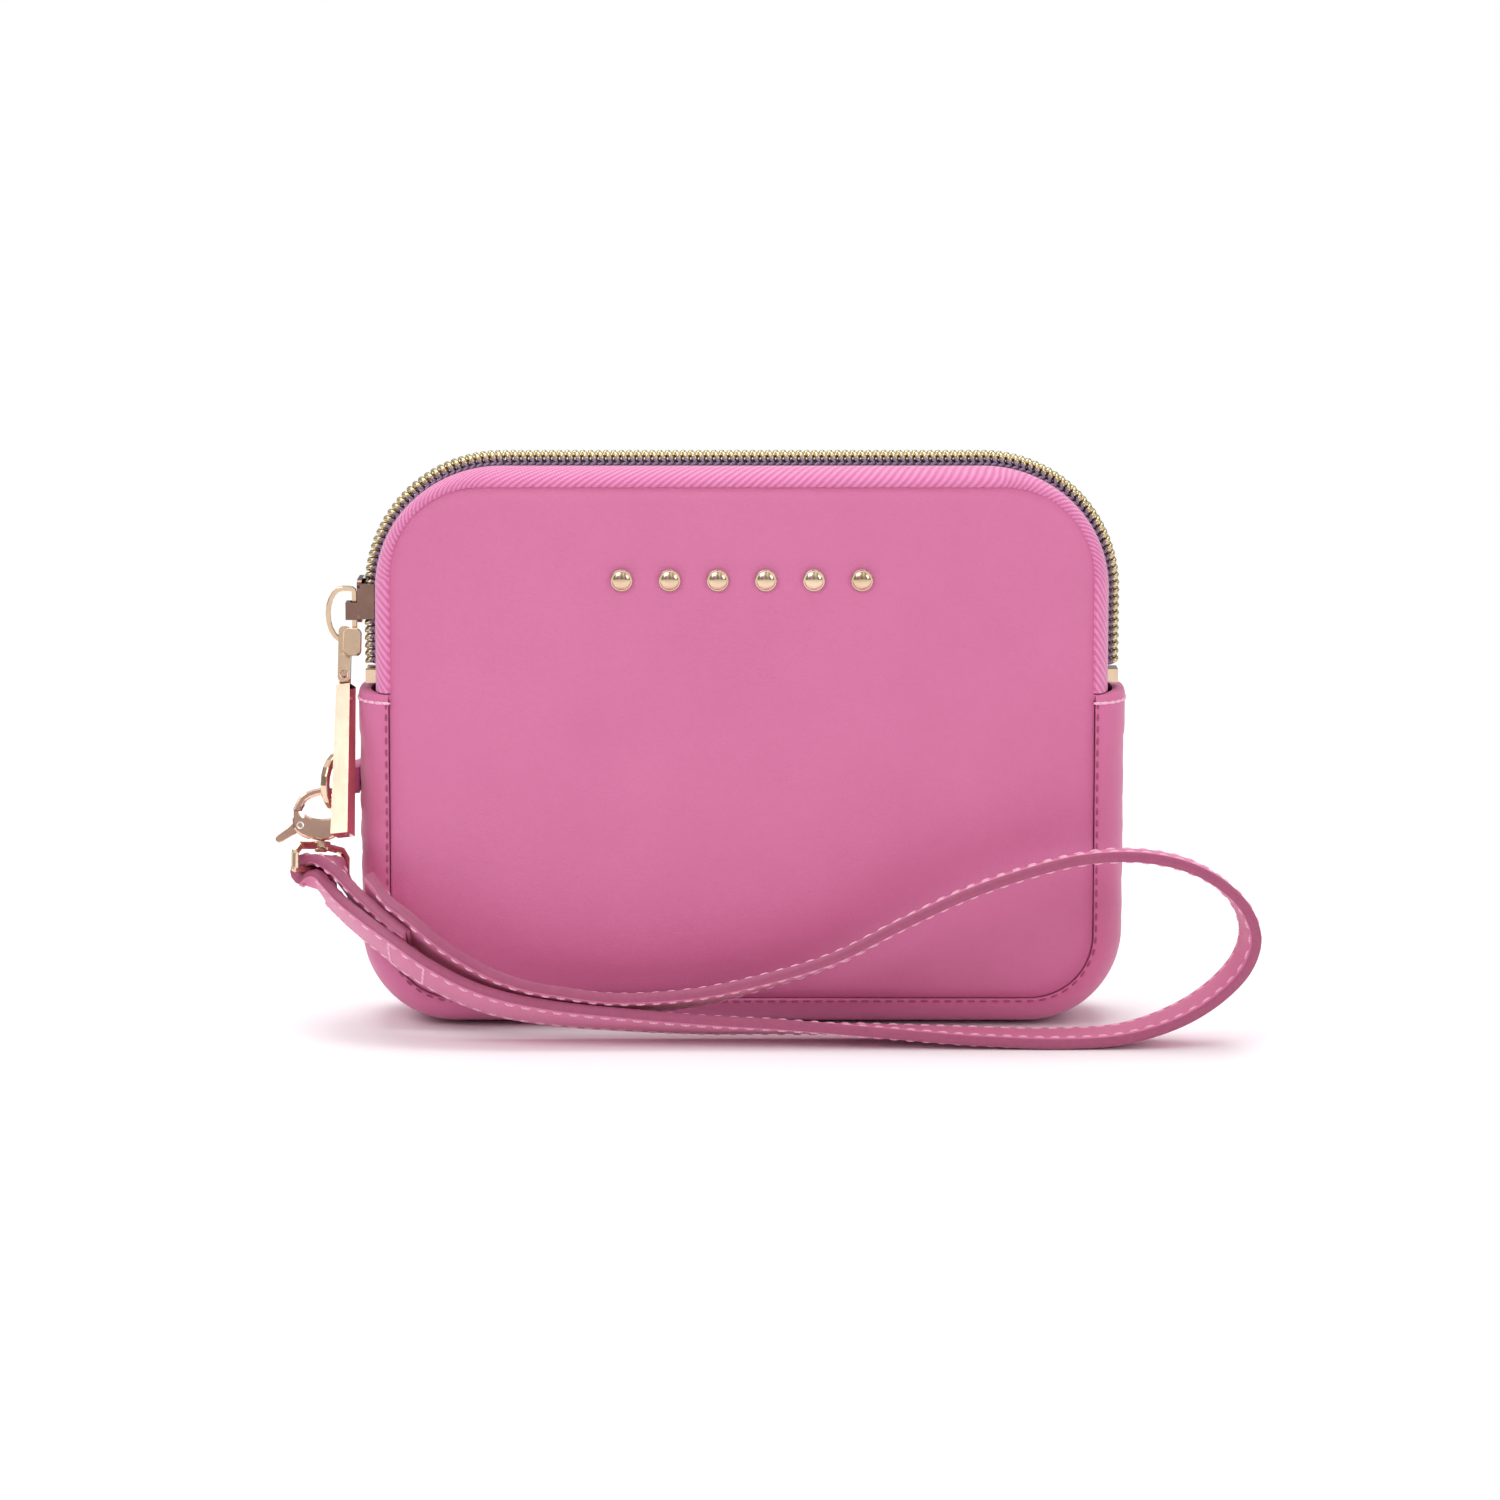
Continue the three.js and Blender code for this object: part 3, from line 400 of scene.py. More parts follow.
class Finishes:
    """All the materials, each made once."""

    def __init__(self) -> None:
        self.panel = Leather("panel leather", linear(216, 122, 166), linear(202, 103, 150),
                             relief=0.0001).build()
        self.gusset = Leather("gusset leather", linear(220, 122, 166), linear(200, 100, 146),
                              roughness=0.5).build()
        self.strap = Leather("strap leather", linear(226, 136, 172), linear(208, 112, 152),
                             grain=1900.0, roughness=0.52).build()
        self.edge = EdgePaint("strap edge paint", linear(178, 88, 122), linear(146, 64, 98)).build()
        # the tape's last colour is purple-grey for the cloth under the coil: partly the coil thread's
        # colour, partly painted shade
        self.tape = Cloth("zip tape", linear(246, 156, 202), linear(206, 100, 156), 1.5, 1.0,
                          linear(140, 112, 140)).build()
        self.coil_thread = Thread("coil thread", linear(158, 132, 158), linear(104, 84, 108)).build()
        self.stitch = Thread("stitch thread", linear(250, 206, 222), linear(230, 160, 190)).build()
        self.seam_stitch = Thread("seam thread", linear(190, 86, 134), linear(140, 52, 92)).build()
        self.coil = Metal("coil plating", linear(224, 206, 168), linear(186, 164, 122), 0.24).build()
        self.gold = Metal("pale gold", linear(238, 212, 186), linear(206, 174, 144), 0.13).build()
        self.rose = Metal("rose gold", linear(240, 204, 184), linear(212, 164, 142), 0.1).build()
        self.mirror = Metal("dark rose mirror", linear(168, 132, 118), linear(96, 72, 66), 0.08).build()
        self.steel = Metal("spring steel", linear(170, 170, 172), linear(120, 120, 124), 0.3).build()
        self.lining = Cloth("lining cloth", linear(196, 150, 172), linear(160, 112, 136), 0.5, 0.0).build()
        self.board = EdgePaint("fibre board", linear(176, 162, 142), linear(138, 124, 106), 0.85,
                               2600.0).build()


# ---------------------------------------------------------------- mesh building
def deselect() -> None:
    """Leaves object mode and selects nothing."""
    if bpy.context.object and bpy.context.object.mode != "OBJECT":
        bpy.ops.object.mode_set(mode="OBJECT")
    bpy.ops.object.select_all(action="DESELECT")


def activate(obj: bpy.types.Object) -> None:
    """Makes obj the only selected and the active object."""
    deselect()
    obj.select_set(True)
    bpy.context.view_layer.objects.active = obj


def apply_modifier(obj: bpy.types.Object, kind: str, **settings) -> None:
    """Adds a modifier, sets it and applies it."""
    activate(obj)
    modifier = obj.modifiers.new(kind.lower(), kind)
    for key, value in settings.items():
        setattr(modifier, key, value)
    bpy.ops.object.modifier_apply(modifier=modifier.name)


def shade(obj: bpy.types.Object, angle: float = 40.0) -> None:
    """Smooth shading, with edges sharper than the angle left hard."""
    activate(obj)
    bpy.ops.object.shade_smooth_by_angle(angle=math.radians(angle))


def laid(name: str, columns: int, rows: int, place: Place,
         cloth: Callable[[float, float], tuple[float, float]] | None = None) -> bpy.types.Object:
    """A grid laid onto a surface.

    Args:
        name: the object's name.
        columns: faces along u.
        rows: faces along v.
        place: gives the point in millimetres for u and v, each from -1 to 1.
        cloth: gives the map coordinates in millimetres for u and v.

    Returns:
        The object, at the origin, in metres.
    """
    deselect()
    bpy.ops.mesh.primitive_grid_add(x_subdivisions=columns, y_subdivisions=rows, size=2)
    obj = bpy.context.object
    obj.name = obj.data.name = name
    flat = [(v.co.x, v.co.y) for v in obj.data.vertices]
    if cloth is not None:
        uv = obj.data.uv_layers.active.data
        for loop in obj.data.loops:
            a, b = cloth(*flat[loop.vertex_index])
            uv[loop.index].uv = (a * MM, b * MM)
    for vertex, (u, v) in zip(obj.data.vertices, flat):
        vertex.co = Vector(place(u, v)) * MM
    return obj


def merge_and_close(obj: bpy.types.Object, distance: float = 1e-6, fill: bool = True) -> None:
    """Joins the two edges of a rolled-up grid, caps its ends and turns its faces out."""
    activate(obj)
    bpy.ops.object.mode_set(mode="EDIT")
    bpy.ops.mesh.select_all(action="SELECT")
    bpy.ops.mesh.remove_doubles(threshold=distance)
    if fill:
        bpy.ops.mesh.select_all(action="SELECT")
        bpy.ops.mesh.fill_holes(sides=64)
    bpy.ops.mesh.select_all(action="SELECT")
    bpy.ops.mesh.normals_make_consistent(inside=False)
    bpy.ops.object.mode_set(mode="OBJECT")


def face_out(obj: bpy.types.Object, outward: Sequence[float]) -> None:
    """Flips an open sheet when its faces look against the given direction on the whole."""
    total = sum((p.normal * p.area for p in obj.data.polygons), Vector())
    if total.dot(Vector(outward)) < 0:
        activate(obj)
        bpy.ops.object.mode_set(mode="EDIT")
        bpy.ops.mesh.select_all(action="SELECT")
        bpy.ops.mesh.flip_normals()
        bpy.ops.object.mode_set(mode="OBJECT")


def paint(obj: bpy.types.Object, material: bpy.types.Material) -> bpy.types.Object:
    """Gives obj one material."""
    obj.data.materials.clear()
    obj.data.materials.append(material)
    return obj


@dataclass(frozen=True)
class Spot:
    """A place for one copy of a small repeated shape: its centre and three directions."""

    at: np.ndarray
    along: np.ndarray
    across: np.ndarray
    up: np.ndarray


def scattered(name: str, template: bpy.types.Object, spots: Iterable[Spot]) -> bpy.types.Object:
    """Copies of a small shape, all in one mesh.

    Args:
        name: the new object's name.
        template: the shape in metres, its x along, y across and z up; it is removed.
        spots: where the copies go, in millimetres.

    Returns:
        The object that holds the copies.
    """
    corners = np.array([v.co for v in template.data.vertices])
    faces = [tuple(p.vertices) for p in template.data.polygons]
    points: list[np.ndarray] = []
    all_faces: list[tuple[int, ...]] = []
    for spot in spots:
        base = len(points) * len(corners)
        turn = np.array([spot.along, spot.across, spot.up])
        points.append(corners @ turn + np.asarray(spot.at) * MM)
        all_faces.extend(tuple(base + i for i in face) for face in faces)
    mesh = bpy.data.meshes.new(name)
    mesh.from_pydata(np.concatenate(points).tolist(), [], all_faces)
    obj = bpy.data.objects.new(name, mesh)
    bpy.context.collection.objects.link(obj)
    bpy.data.objects.remove(template)
    for polygon in mesh.polygons:
        polygon.use_smooth = True
    return obj


def stitch_shape(length: float, width: float, height: float) -> bpy.types.Object:
    """One sewn stitch: a rounded bead pulled down at both ends."""
    deselect()
    bpy.ops.mesh.primitive_uv_sphere_add(segments=8, ring_count=6, radius=1.0)
    obj = bpy.context.object
    for vertex in obj.data.vertices:
        x, y, z = vertex.co
        square = math.copysign(abs(x) ** 0.8, x)
        vertex.co = (square * length / 2 * MM, y * width / 2 * MM,
                     (z * height / 2 - 0.35 * height * square**4) * MM)
    return obj


# ---------------------------------------------------------------- paths
@dataclass(frozen=True)
class ArchPoint:
    """A point of an arch in the XZ plane with its outward direction."""

    x: float
    z: float
    nx: float
    nz: float


@dataclass(frozen=True)
class Arch:
    """A round-cornered arch over the zip; its parameter runs 0..5 over its five stretches."""

    half: float
    top: float
    radius: float
    foot: float

    def at(self, t: float) -> ArchPoint:
        """Point at a parameter: left side, left corner, top, right corner, right side."""
        stretch = min(int(t), 4)
        share = t - stretch
        spring = self.top - self.radius
        if stretch in (0, 4):
            sign = -1 if stretch == 0 else 1
            rise = share if stretch == 0 else 1 - share
            return ArchPoint(sign * self.half, self.foot + (spring - self.foot) * rise, sign, 0)
        if stretch == 2:
            inner = self.half - self.radius
            return ArchPoint(-inner + 2 * inner * share, self.top, 0, 1)
        sign = -1 if stretch == 1 else 1
        angle = math.pi / 2 * (share if stretch == 1 else 1 - share)
        return ArchPoint(sign * (self.half - self.radius + self.radius * math.cos(angle)),
                         spring + self.radius * math.sin(angle),
                         sign * math.cos(angle), math.sin(angle))


def even_parameters(arch: Arch, start: float, end: float, pitch: float) -> list[float]:
    """Parameters that lie one pitch apart along an arch."""
    fine = np.linspace(start, end, 3000)
    points = np.array([(arch.at(t).x, arch.at(t).z) for t in fine])
    run = np.concatenate([[0], np.cumsum(np.linalg.norm(np.diff(points, axis=0), axis=1))])
    count = max(int(run[-1] / pitch), 2)
    return list(np.interp(np.linspace(0, run[-1], count + 1), run, fine))


TAPE_FOOT = SIZES.gusset_top + SIZES.clearance
SEAM = Arch(SIZES.seam_half, SIZES.seam_top, SIZES.seam_top_radius, TAPE_FOOT)
RIDGE = Arch(SIZES.coil_half_width, SIZES.body_height, SIZES.coil_radius, TAPE_FOOT)
LEFT_END = 1.7  # parameter up to which the front half of the zip bends to the slider


def coil_split(point: ArchPoint) -> float:
    """How far each half of the coil stands off the middle; the zip is open below the slider."""
    if point.x > 0:
        return 0.0
    return SIZES.coil_split * (1 - smooth_step(SIZES.split_foot, SIZES.split_top, point.z))


# ---------------------------------------------------------------- body of the wallet
def rim_point(u: float, v: float, half: float, reach: float, inset: float) -> tuple[float, float]:
    """Point of a rounded rectangle's rim for a point of the unit square's rim, z from its middle."""
    x, z = half * u, reach * v
    radius = max((SIZES.seam_top_radius if v > 0 else SIZES.seam_bottom_radius) - inset, 1.0)
    dx, dz = abs(x) - (half - radius), abs(z) - (reach - radius)
    if dx > 0 and dz > 0:
        distance = max(dx, dz)
        turn = math.pi / 4 * (dz / dx if dx > dz else 2 - dx / dz)
        x = math.copysign(half - radius + distance * math.cos(turn), u)
        z = math.copysign(reach - radius + distance * math.sin(turn), v)
    return x, z


@dataclass
class PanelLayer:
    """One layer of a panel: the leather, or the lining behind it."""

    side: Side
    name: str
    inset: float
    depth: float
    thickness: float
    roll: float = 0.0
    soft: float = 0.0
    cells: int = 72

    def build(self) -> bpy.types.Object:
        """Lays the sheet, gives it its thickness and rounds its edge."""
        half = SIZES.seam_half - self.inset
        low, high = SIZES.seam_foot + self.inset, SIZES.seam_top - self.inset
        middle, reach = (low + high) / 2, (high - low) / 2
        sign = self.side.value

        def flat(u: float, v: float) -> tuple[float, float, float]:
            ring = max(abs(u), abs(v))
            if ring < 1e-9:
                return 0.0, middle, reach
            x, z = rim_point(u / ring, v / ring, half, reach, self.inset)
            scale = math.sin(math.pi / 2 * ring)
            return x * scale, middle + z * scale, (1 - scale) * min(half, reach)

        def place(u: float, v: float) -> tuple[float, float, float]:
            x, z, edge = flat(u, v)
            y = SIZES.half_depth(z) + SIZES.crown_at(x, z) - self.depth
            y -= self.roll * (1 - smooth_step(-0.4, 3.0, edge)) ** 2
            if self.soft:
                calm = smooth_step(0, 9, edge)
                y += self.soft * calm * (ripple(x, 0, z, 34, sign * 3.1) * 0.7
                                         + ripple(x * 1.7, 0, z * 0.5, 13, 7.7) * 0.22)
                y += 0.1 * ripple(x * 3.2, 0, z * 0.6, 9, 2.2) * (1 - smooth_step(2, 16, edge))
            return x, sign * y, z

        obj = laid(self.name, self.cells, self.cells, place, lambda u, v: flat(u, v)[:2])
        face_out(obj, (0, sign, 0))
        apply_modifier(obj, "SOLIDIFY", thickness=self.thickness * MM, offset=-1)
        apply_modifier(obj, "BEVEL", width=0.22 * MM, segments=2, limit_method="ANGLE",
                       angle_limit=math.radians(60))
        shade(obj, 50)
        return obj


@dataclass
class Gusset:
    """The strip round the bottom and sides, its folded ends sewn across."""

    stations: int = 260
    rows: int = 36

    @staticmethod
    def point(t: float, share: float, depth: float = 0.0) -> tuple[float, float, float]:
        """Point of the gusset's face, share from -1 at the front seam to 1 at the rear one."""
        flipped = Arch(SIZES.seam_half, -SIZES.seam_foot, SIZES.seam_bottom_radius, -SIZES.gusset_top)
        p = flipped.at(t)
        x, z, nx, nz = p.x, -p.z, p.nx, -p.nz
        bulge = (1 - min(abs(share), 1) ** 3) ** 0.6
        fold = smooth_step(SIZES.gusset_top - SIZES.hem - 0.6, SIZES.gusset_top - SIZES.hem, z)
        crumple = smooth_step(14, 24, z) * (1 - smooth_step(44, 58, z)) * (1.0 if x < 0 else 0.45)
        wave = (ripple(x, share * 6, z * 2.6, 7, 4.0) * 0.32
                + ripple(x, share * 9, z * 5.5, 8, 9.0) * 0.16)
        out = (SIZES.clearance / 2 + (SIZES.gusset_bulge - SIZES.clearance / 2) * bulge
               + 0.22 * fold * bulge + crumple * wave * bulge - depth)
        inward = depth * 0.8 * abs(share) ** 3
        side = math.copysign(1, share) if share else 0
        return x + nx * out, side * (abs(share) * SIZES.half_depth(z) - inward), z + nz * out

    def build(self, finishes: Finishes) -> list[bpy.types.Object]:
        """Makes the gusset, its lining and its stitches."""
        def t_of(u: float) -> float:
            return 2.5 + 2.5 * u

        def share_of(v: float) -> float:
            return math.sin(math.pi / 2 * v)

        def folded(u: float, v: float) -> tuple[float, float, float]:
            turn = max(abs(u) - 0.975, 0) / 0.025
            return self.point(t_of(max(-1, min(1, u / 0.975))), share_of(v), 2.5 * turn)

        gusset = laid("gusset_leather_strip", self.stations, self.rows, folded,
                      lambda u, v: (u * 150, v * 18))
        gusset.data.flip_normals()
        self._outward(gusset)
        apply_modifier(gusset, "SOLIDIFY", thickness=SIZES.leather * MM, offset=-1)
        apply_modifier(gusset, "BEVEL", width=0.3 * MM, segments=3, limit_method="ANGLE",
                       angle_limit=math.radians(55))
        shade(gusset, 50)
        paint(gusset, finishes.gusset)
        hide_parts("gusset")
        lining = laid("gusset_lining_cloth", 120, 20,
                      lambda u, v: self.point(t_of(u * 0.86), share_of(v) * 0.9, 2.0),
                      lambda u, v: (u * 130, v * 16))
        self._outward(lining)
        apply_modifier(lining, "SOLIDIFY", thickness=SIZES.lining * MM, offset=-1)
        shade(lining, 50)
        paint(lining, finishes.lining)
        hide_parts("gusset_lining")
        return [gusset, lining] + self._stitches(finishes)

    @staticmethod
    def _outward(obj: bpy.types.Object) -> None:
        """Turns the faces of the strip away from the middle of the wallet."""
        middle = Vector((0, 0, 0.04))
        total = sum(p.normal.dot(p.center - middle) * p.area for p in obj.data.polygons)
        if total < 0:
            obj.data.flip_normals()

    def _stitches(self, finishes: Finishes) -> list[bpy.types.Object]:
        """Stitches across the folded ends and the sunk ones along both seams."""
        hem: list[Spot] = []
        for t, sign in ((0.035, -1), (4.965, 1)):
            for i in range(-7, 8):
                share = math.sin(math.pi / 2 * i / 7.4)
                a, b = self.point(t, share - 0.01), self.point(t, share + 0.01)
                at = (np.array(a) + np.array(b)) / 2
                across = np.array(b) - np.array(a)
                across /= np.linalg.norm(across)
                up = np.cross(across, (0, 0, 1))
                up = up if up @ np.array([sign, share, 0]) > 0 else -up
                hem.append(Spot(at, across, np.cross(up, across), up))
        hem_row = scattered("gusset_hem_stitches", stitch_shape(2.1, 0.66, 0.62), hem)
        paint(hem_row, finishes.stitch)
        rows = [hem_row]
        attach(hem_row, "root")
        path = Arch(SIZES.seam_half, -SIZES.seam_foot, SIZES.seam_bottom_radius, -SIZES.gusset_top)
        for side in Side:
            spots: list[Spot] = []
            parameters = even_parameters(path, 0.02, 4.98, 2.3)
            for t, after in zip(parameters, parameters[1:]):
                a = np.array(self.point(t, side.value * 0.997))
                b = np.array(self.point(after, side.value * 0.997))
                along = (b - a) / np.linalg.norm(b - a)
                up = np.array([0, side.value, 0.0]) + 0.4 * np.array([along[2], 0, -along[0]])
                up -= along * (up @ along)
                up /= np.linalg.norm(up)
                spots.append(Spot(a + (b - a) * 0.5, along, np.cross(up, along), up))
            row = scattered(f"{side.label}_seam_stitches", stitch_shape(1.7, 0.5, 0.5), spots)
            paint(row, finishes.seam_stitch)
            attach(row, side.body)
            rows.append(row)
        return rows


@dataclass
class Body:
    """The leather body: panels, their linings and pockets, and the gusset."""

    finishes: Finishes

    def build(self) -> None:
        """Makes every sewn layer of the body."""
        lining_depth = SIZES.leather + SIZES.board + 2 * SIZES.clearance
        for side in Side:
            leather = PanelLayer(side, f"{side.label}_panel_leather", SIZES.clearance / 2, 0.0,
                                 SIZES.leather, roll=0.85, soft=0.28).build()
            paint(leather, self.finishes.panel)
            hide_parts(f"{side.label}_panel")
            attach(leather, side.body)
            lining = PanelLayer(side, f"{side.label}_lining_cloth", 3.2, lining_depth,
                                SIZES.lining, cells=40).build()
            paint(lining, self.finishes.lining)
            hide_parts(f"{side.label}_lining")
            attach(lining, side.body)
        depth = lining_depth + SIZES.lining + SIZES.clearance
        self._pocket(Side.REAR, "slip_pocket", 56, 82, depth, SIZES.lining, self.finishes.lining)
        self._pocket(Side.FRONT, "card_slot_rear", 50, 76, depth, 0.9, self.finishes.panel)
        self._pocket(Side.FRONT, "card_slot_front", 50, 64, depth + 1.2, 0.9, self.finishes.panel)
        for obj in Gusset().build(self.finishes):
            if obj.name in ("gusset_leather_strip", "gusset_lining_cloth"):
                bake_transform(obj)
        for side in Side:
            finish_node(f"{side.label}_stiffener", self.finishes.board, 0.15)

    def _pocket(self, side: Side, node: str, half: float, high: float, depth: float,
                thickness: float, material: bpy.types.Material) -> None:
        """A pocket on a lining, its upper edge turned over."""
        low = SIZES.seam_foot + 9
        sign = side.value

        def place(u: float, v: float) -> tuple[float, float, float]:
            x, z = half * u, low + (high - low) * (v + 1) / 2
            y = SIZES.half_depth(z) + SIZES.crown_at(x, z) - depth
            y -= 0.12 * smooth_step(high - 6.4, high - 6.0, z)
            return x, sign * y, z

        obj = laid(node + "_piece", 48, 40, place,
                   lambda u, v: (half * u, (high - low) * v / 2))
        face_out(obj, (0, -sign, 0))
        apply_modifier(obj, "SOLIDIFY", thickness=thickness * MM, offset=1)
        apply_modifier(obj, "BEVEL", width=0.15 * MM, segments=2, limit_method="ANGLE")
        shade(obj, 50)
        paint(obj, material)
        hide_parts(node)
        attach(obj, side.body)


# ---------------------------------------------------------------- zip
@dataclass
class Zip:
    """Tapes, coils and their threads, with the stops."""

    finishes: Finishes

    @staticmethod
    def tape_point(t: float, share: float, side: Side) -> tuple[float, float, float]:
        """Point of a tape: share 0 at the seam, 1 at its inner edge under the coil."""
        seam, ridge = SEAM.at(t), RIDGE.at(t)
        split = coil_split(ridge)
        sunk = SIZES.coil_height + SIZES.clearance
        flat = SIZES.coil_half + 1.8
        depth = SIZES.half_depth(seam.z)
        origin = np.array([seam.x + seam.nx * 0.15, depth, seam.z + seam.nz * 0.15])
        level = np.array([ridge.x - ridge.nx * sunk, 0.0, ridge.z - ridge.nz * sunk])
        inner = level + np.array([0, flat + split, 0])
        if share < 0.08:
            tuck = origin + np.array([-1.2 * seam.nx, -1.75, -1.2 * seam.nz])
            point = tuck + (origin - tuck) * share / 0.08
        elif share <= 0.62:
            s = (share - 0.08) / 0.54
            rise = np.array([seam.nx, 0, seam.nz])
            first = origin + rise * 2.0 + np.array([0, 0.25, 0])
            second = inner + np.array([0, 2.2, 0]) + np.array([ridge.nx, 0, ridge.nz]) * 0.5
            point = ((1 - s) ** 3 * origin + 3 * s * (1 - s) ** 2 * first
                     + 3 * s * s * (1 - s) * second + s**3 * inner)
        else:
            s = (share - 0.62) / 0.38
            point = level + np.array([0, (flat + split) * (1 - s) + (0.15 + split) * s, 0])
        return point[0], side.value * point[1], point[2]

    def _tape(self, side: Side, start: float, end: float, name: str) -> bpy.types.Object:
        """One stretch of a tape."""
        columns = int(90 * (end - start))
        span = (end - start) / 2
        middle = (end + start) / 2

        def cloth(u: float, v: float) -> tuple[float, float]:
            p = RIDGE.at(middle + span * u)
            bend = RIDGE.radius * abs(math.atan2(p.nx, p.nz))
            level = min(abs(p.x), RIDGE.half - RIDGE.radius)
            drop = max(RIDGE.top - RIDGE.radius - p.z, 0)
            return math.copysign(level + bend + drop, p.x), 12.5 * (1 - v) / 2

        obj = laid(name, columns, 26,
                   lambda u, v: self.tape_point(middle + span * u, (v + 1) / 2, side), cloth)
        middle_point = Vector((0, 0, 0.06))
        total = sum(p.normal.dot(p.center - middle_point) * p.area for p in obj.data.polygons)
        if total < 0:
            obj.data.flip_normals()
        apply_modifier(obj, "SOLIDIFY", thickness=0.55 * MM, offset=-1)
        shade(obj, 50)
        return paint(obj, self.finishes.tape)

    def _coil(self, side: Side, start: float, end: float, name: str) -> bpy.types.Object:
        """Loops of one half of the coil."""
        deselect()
        bpy.ops.mesh.primitive_torus_add(major_segments=11, minor_segments=6,
                                         major_radius=1.0, minor_radius=0.4)
        loop = bpy.context.object
        for vertex in loop.data.vertices:
            x, y, z = vertex.co
            vertex.co = ((z * 1.35 + 0.34 * y) * MM, x * 1.02 * MM, y * 0.82 * MM)
        spots: list[Spot] = []
        parameters = even_parameters(RIDGE, start, end, 1.5)
        offset = 0.5 if side is Side.FRONT else 0.0
        for t, after in zip(parameters, parameters[1:]):
            p = RIDGE.at(t + (after - t) * offset)
            y = side.value * (1.52 + coil_split(p))
            at = np.array([p.x - p.nx * 1.16, y, p.z - p.nz * 1.16])
            along = np.array([p.nz, 0, -p.nx]) * side.value
            up = np.array([p.nx, 0, p.nz])
            spots.append(Spot(at, along, np.array([0, side.value, 0.0]), up))
        obj = scattered(name, loop, spots)
        return paint(obj, self.finishes.coil)

    def _thread(self, side: Side, start: float, end: float, name: str) -> bpy.types.Object:
        """The sewing thread that holds a coil down, in two slanted rows."""
        spots: list[Spot] = []
        parameters = even_parameters(RIDGE, start, end, 1.5)
        for t, after in zip(parameters, parameters[1:]):
            for reach, sunk, lean, tilt in ((2.95, 1.6, 0.6, 0.7), (3.5, 2.3, -0.6, 0.12)):
                p = RIDGE.at((t + after) / 2)
                at = np.array([p.x - p.nx * sunk, side.value * (reach + coil_split(p)),
                               p.z - p.nz * sunk])
                out = np.array([p.nx, 0, p.nz])
                path = np.array([p.nz, 0, -p.nx])
                along = path * lean + np.array([0, side.value * 0.6, 0]) - out * tilt
                along /= np.linalg.norm(along)
                up = out + np.array([0, side.value * 0.6, 0])
                up -= along * (up @ along)
                up /= np.linalg.norm(up)
                spots.append(Spot(at, along, np.cross(up, along), up))
        obj = scattered(name, stitch_shape(1.95, 0.72, 0.6), spots)
        return paint(obj, self.finishes.coil_thread)

    def build(self) -> None:
        """Makes both halves; the front one bends to the slider at its closed end."""
        first = 0.24
        rear = [self._tape(Side.REAR, 0, 5, "rear_tape_cloth"),
                self._coil(Side.REAR, first, 4.78, "rear_coil_loops"),
                self._thread(Side.REAR, first, 4.78, "rear_coil_thread")]
        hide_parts("rear_tape")
        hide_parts("rear_coil")
        free = [self._tape(Side.FRONT, LEFT_END, 5, "front_tape_cloth"),
                self._coil(Side.FRONT, LEFT_END, 4.78, "front_coil_loops"),
                self._thread(Side.FRONT, LEFT_END, 4.78, "front_coil_thread")]
        held = [self._tape(Side.FRONT, 0, LEFT_END, "front_tape_end"),
                self._coil(Side.FRONT, first, LEFT_END, "front_coil_end"),
                self._thread(Side.FRONT, first, LEFT_END, "front_thread_end")]
        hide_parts("front_tape")
        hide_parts("front_coil")
        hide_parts("front_coil_held")
        for obj in rear:
            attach(obj, "root")
        for obj in free:
            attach(obj, "front")
        for obj in held:
            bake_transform(obj)
        for node in ("top_stop_front", "top_stop_rear", "bottom_stop"):
            finish_node(node, self.finishes.gold, 0.35)


# ---------------------------------------------------------------- hardware
def finish_node(name: str, material: bpy.types.Material, bevel: float, segments: int = 3) -> None:
    """Carries a solid over: rounds its edges, shades it and gives it its finish."""
    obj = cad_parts[name]
    obj.data.materials.clear()
    obj.data.materials.append(material)
    for polygon in obj.data.polygons:
        polygon.use_smooth = True
        polygon.material_index = 0
    edges = obj.modifiers.new("rounded edges", "BEVEL")
    edges.width = bevel * MM
    edges.segments = segments
    edges.limit_method = "ANGLE"
    edges.angle_limit = math.radians(38)
    edges.harden_normals = True
    edges.use_clamp_overlap = True


STUD_COUNT = 6


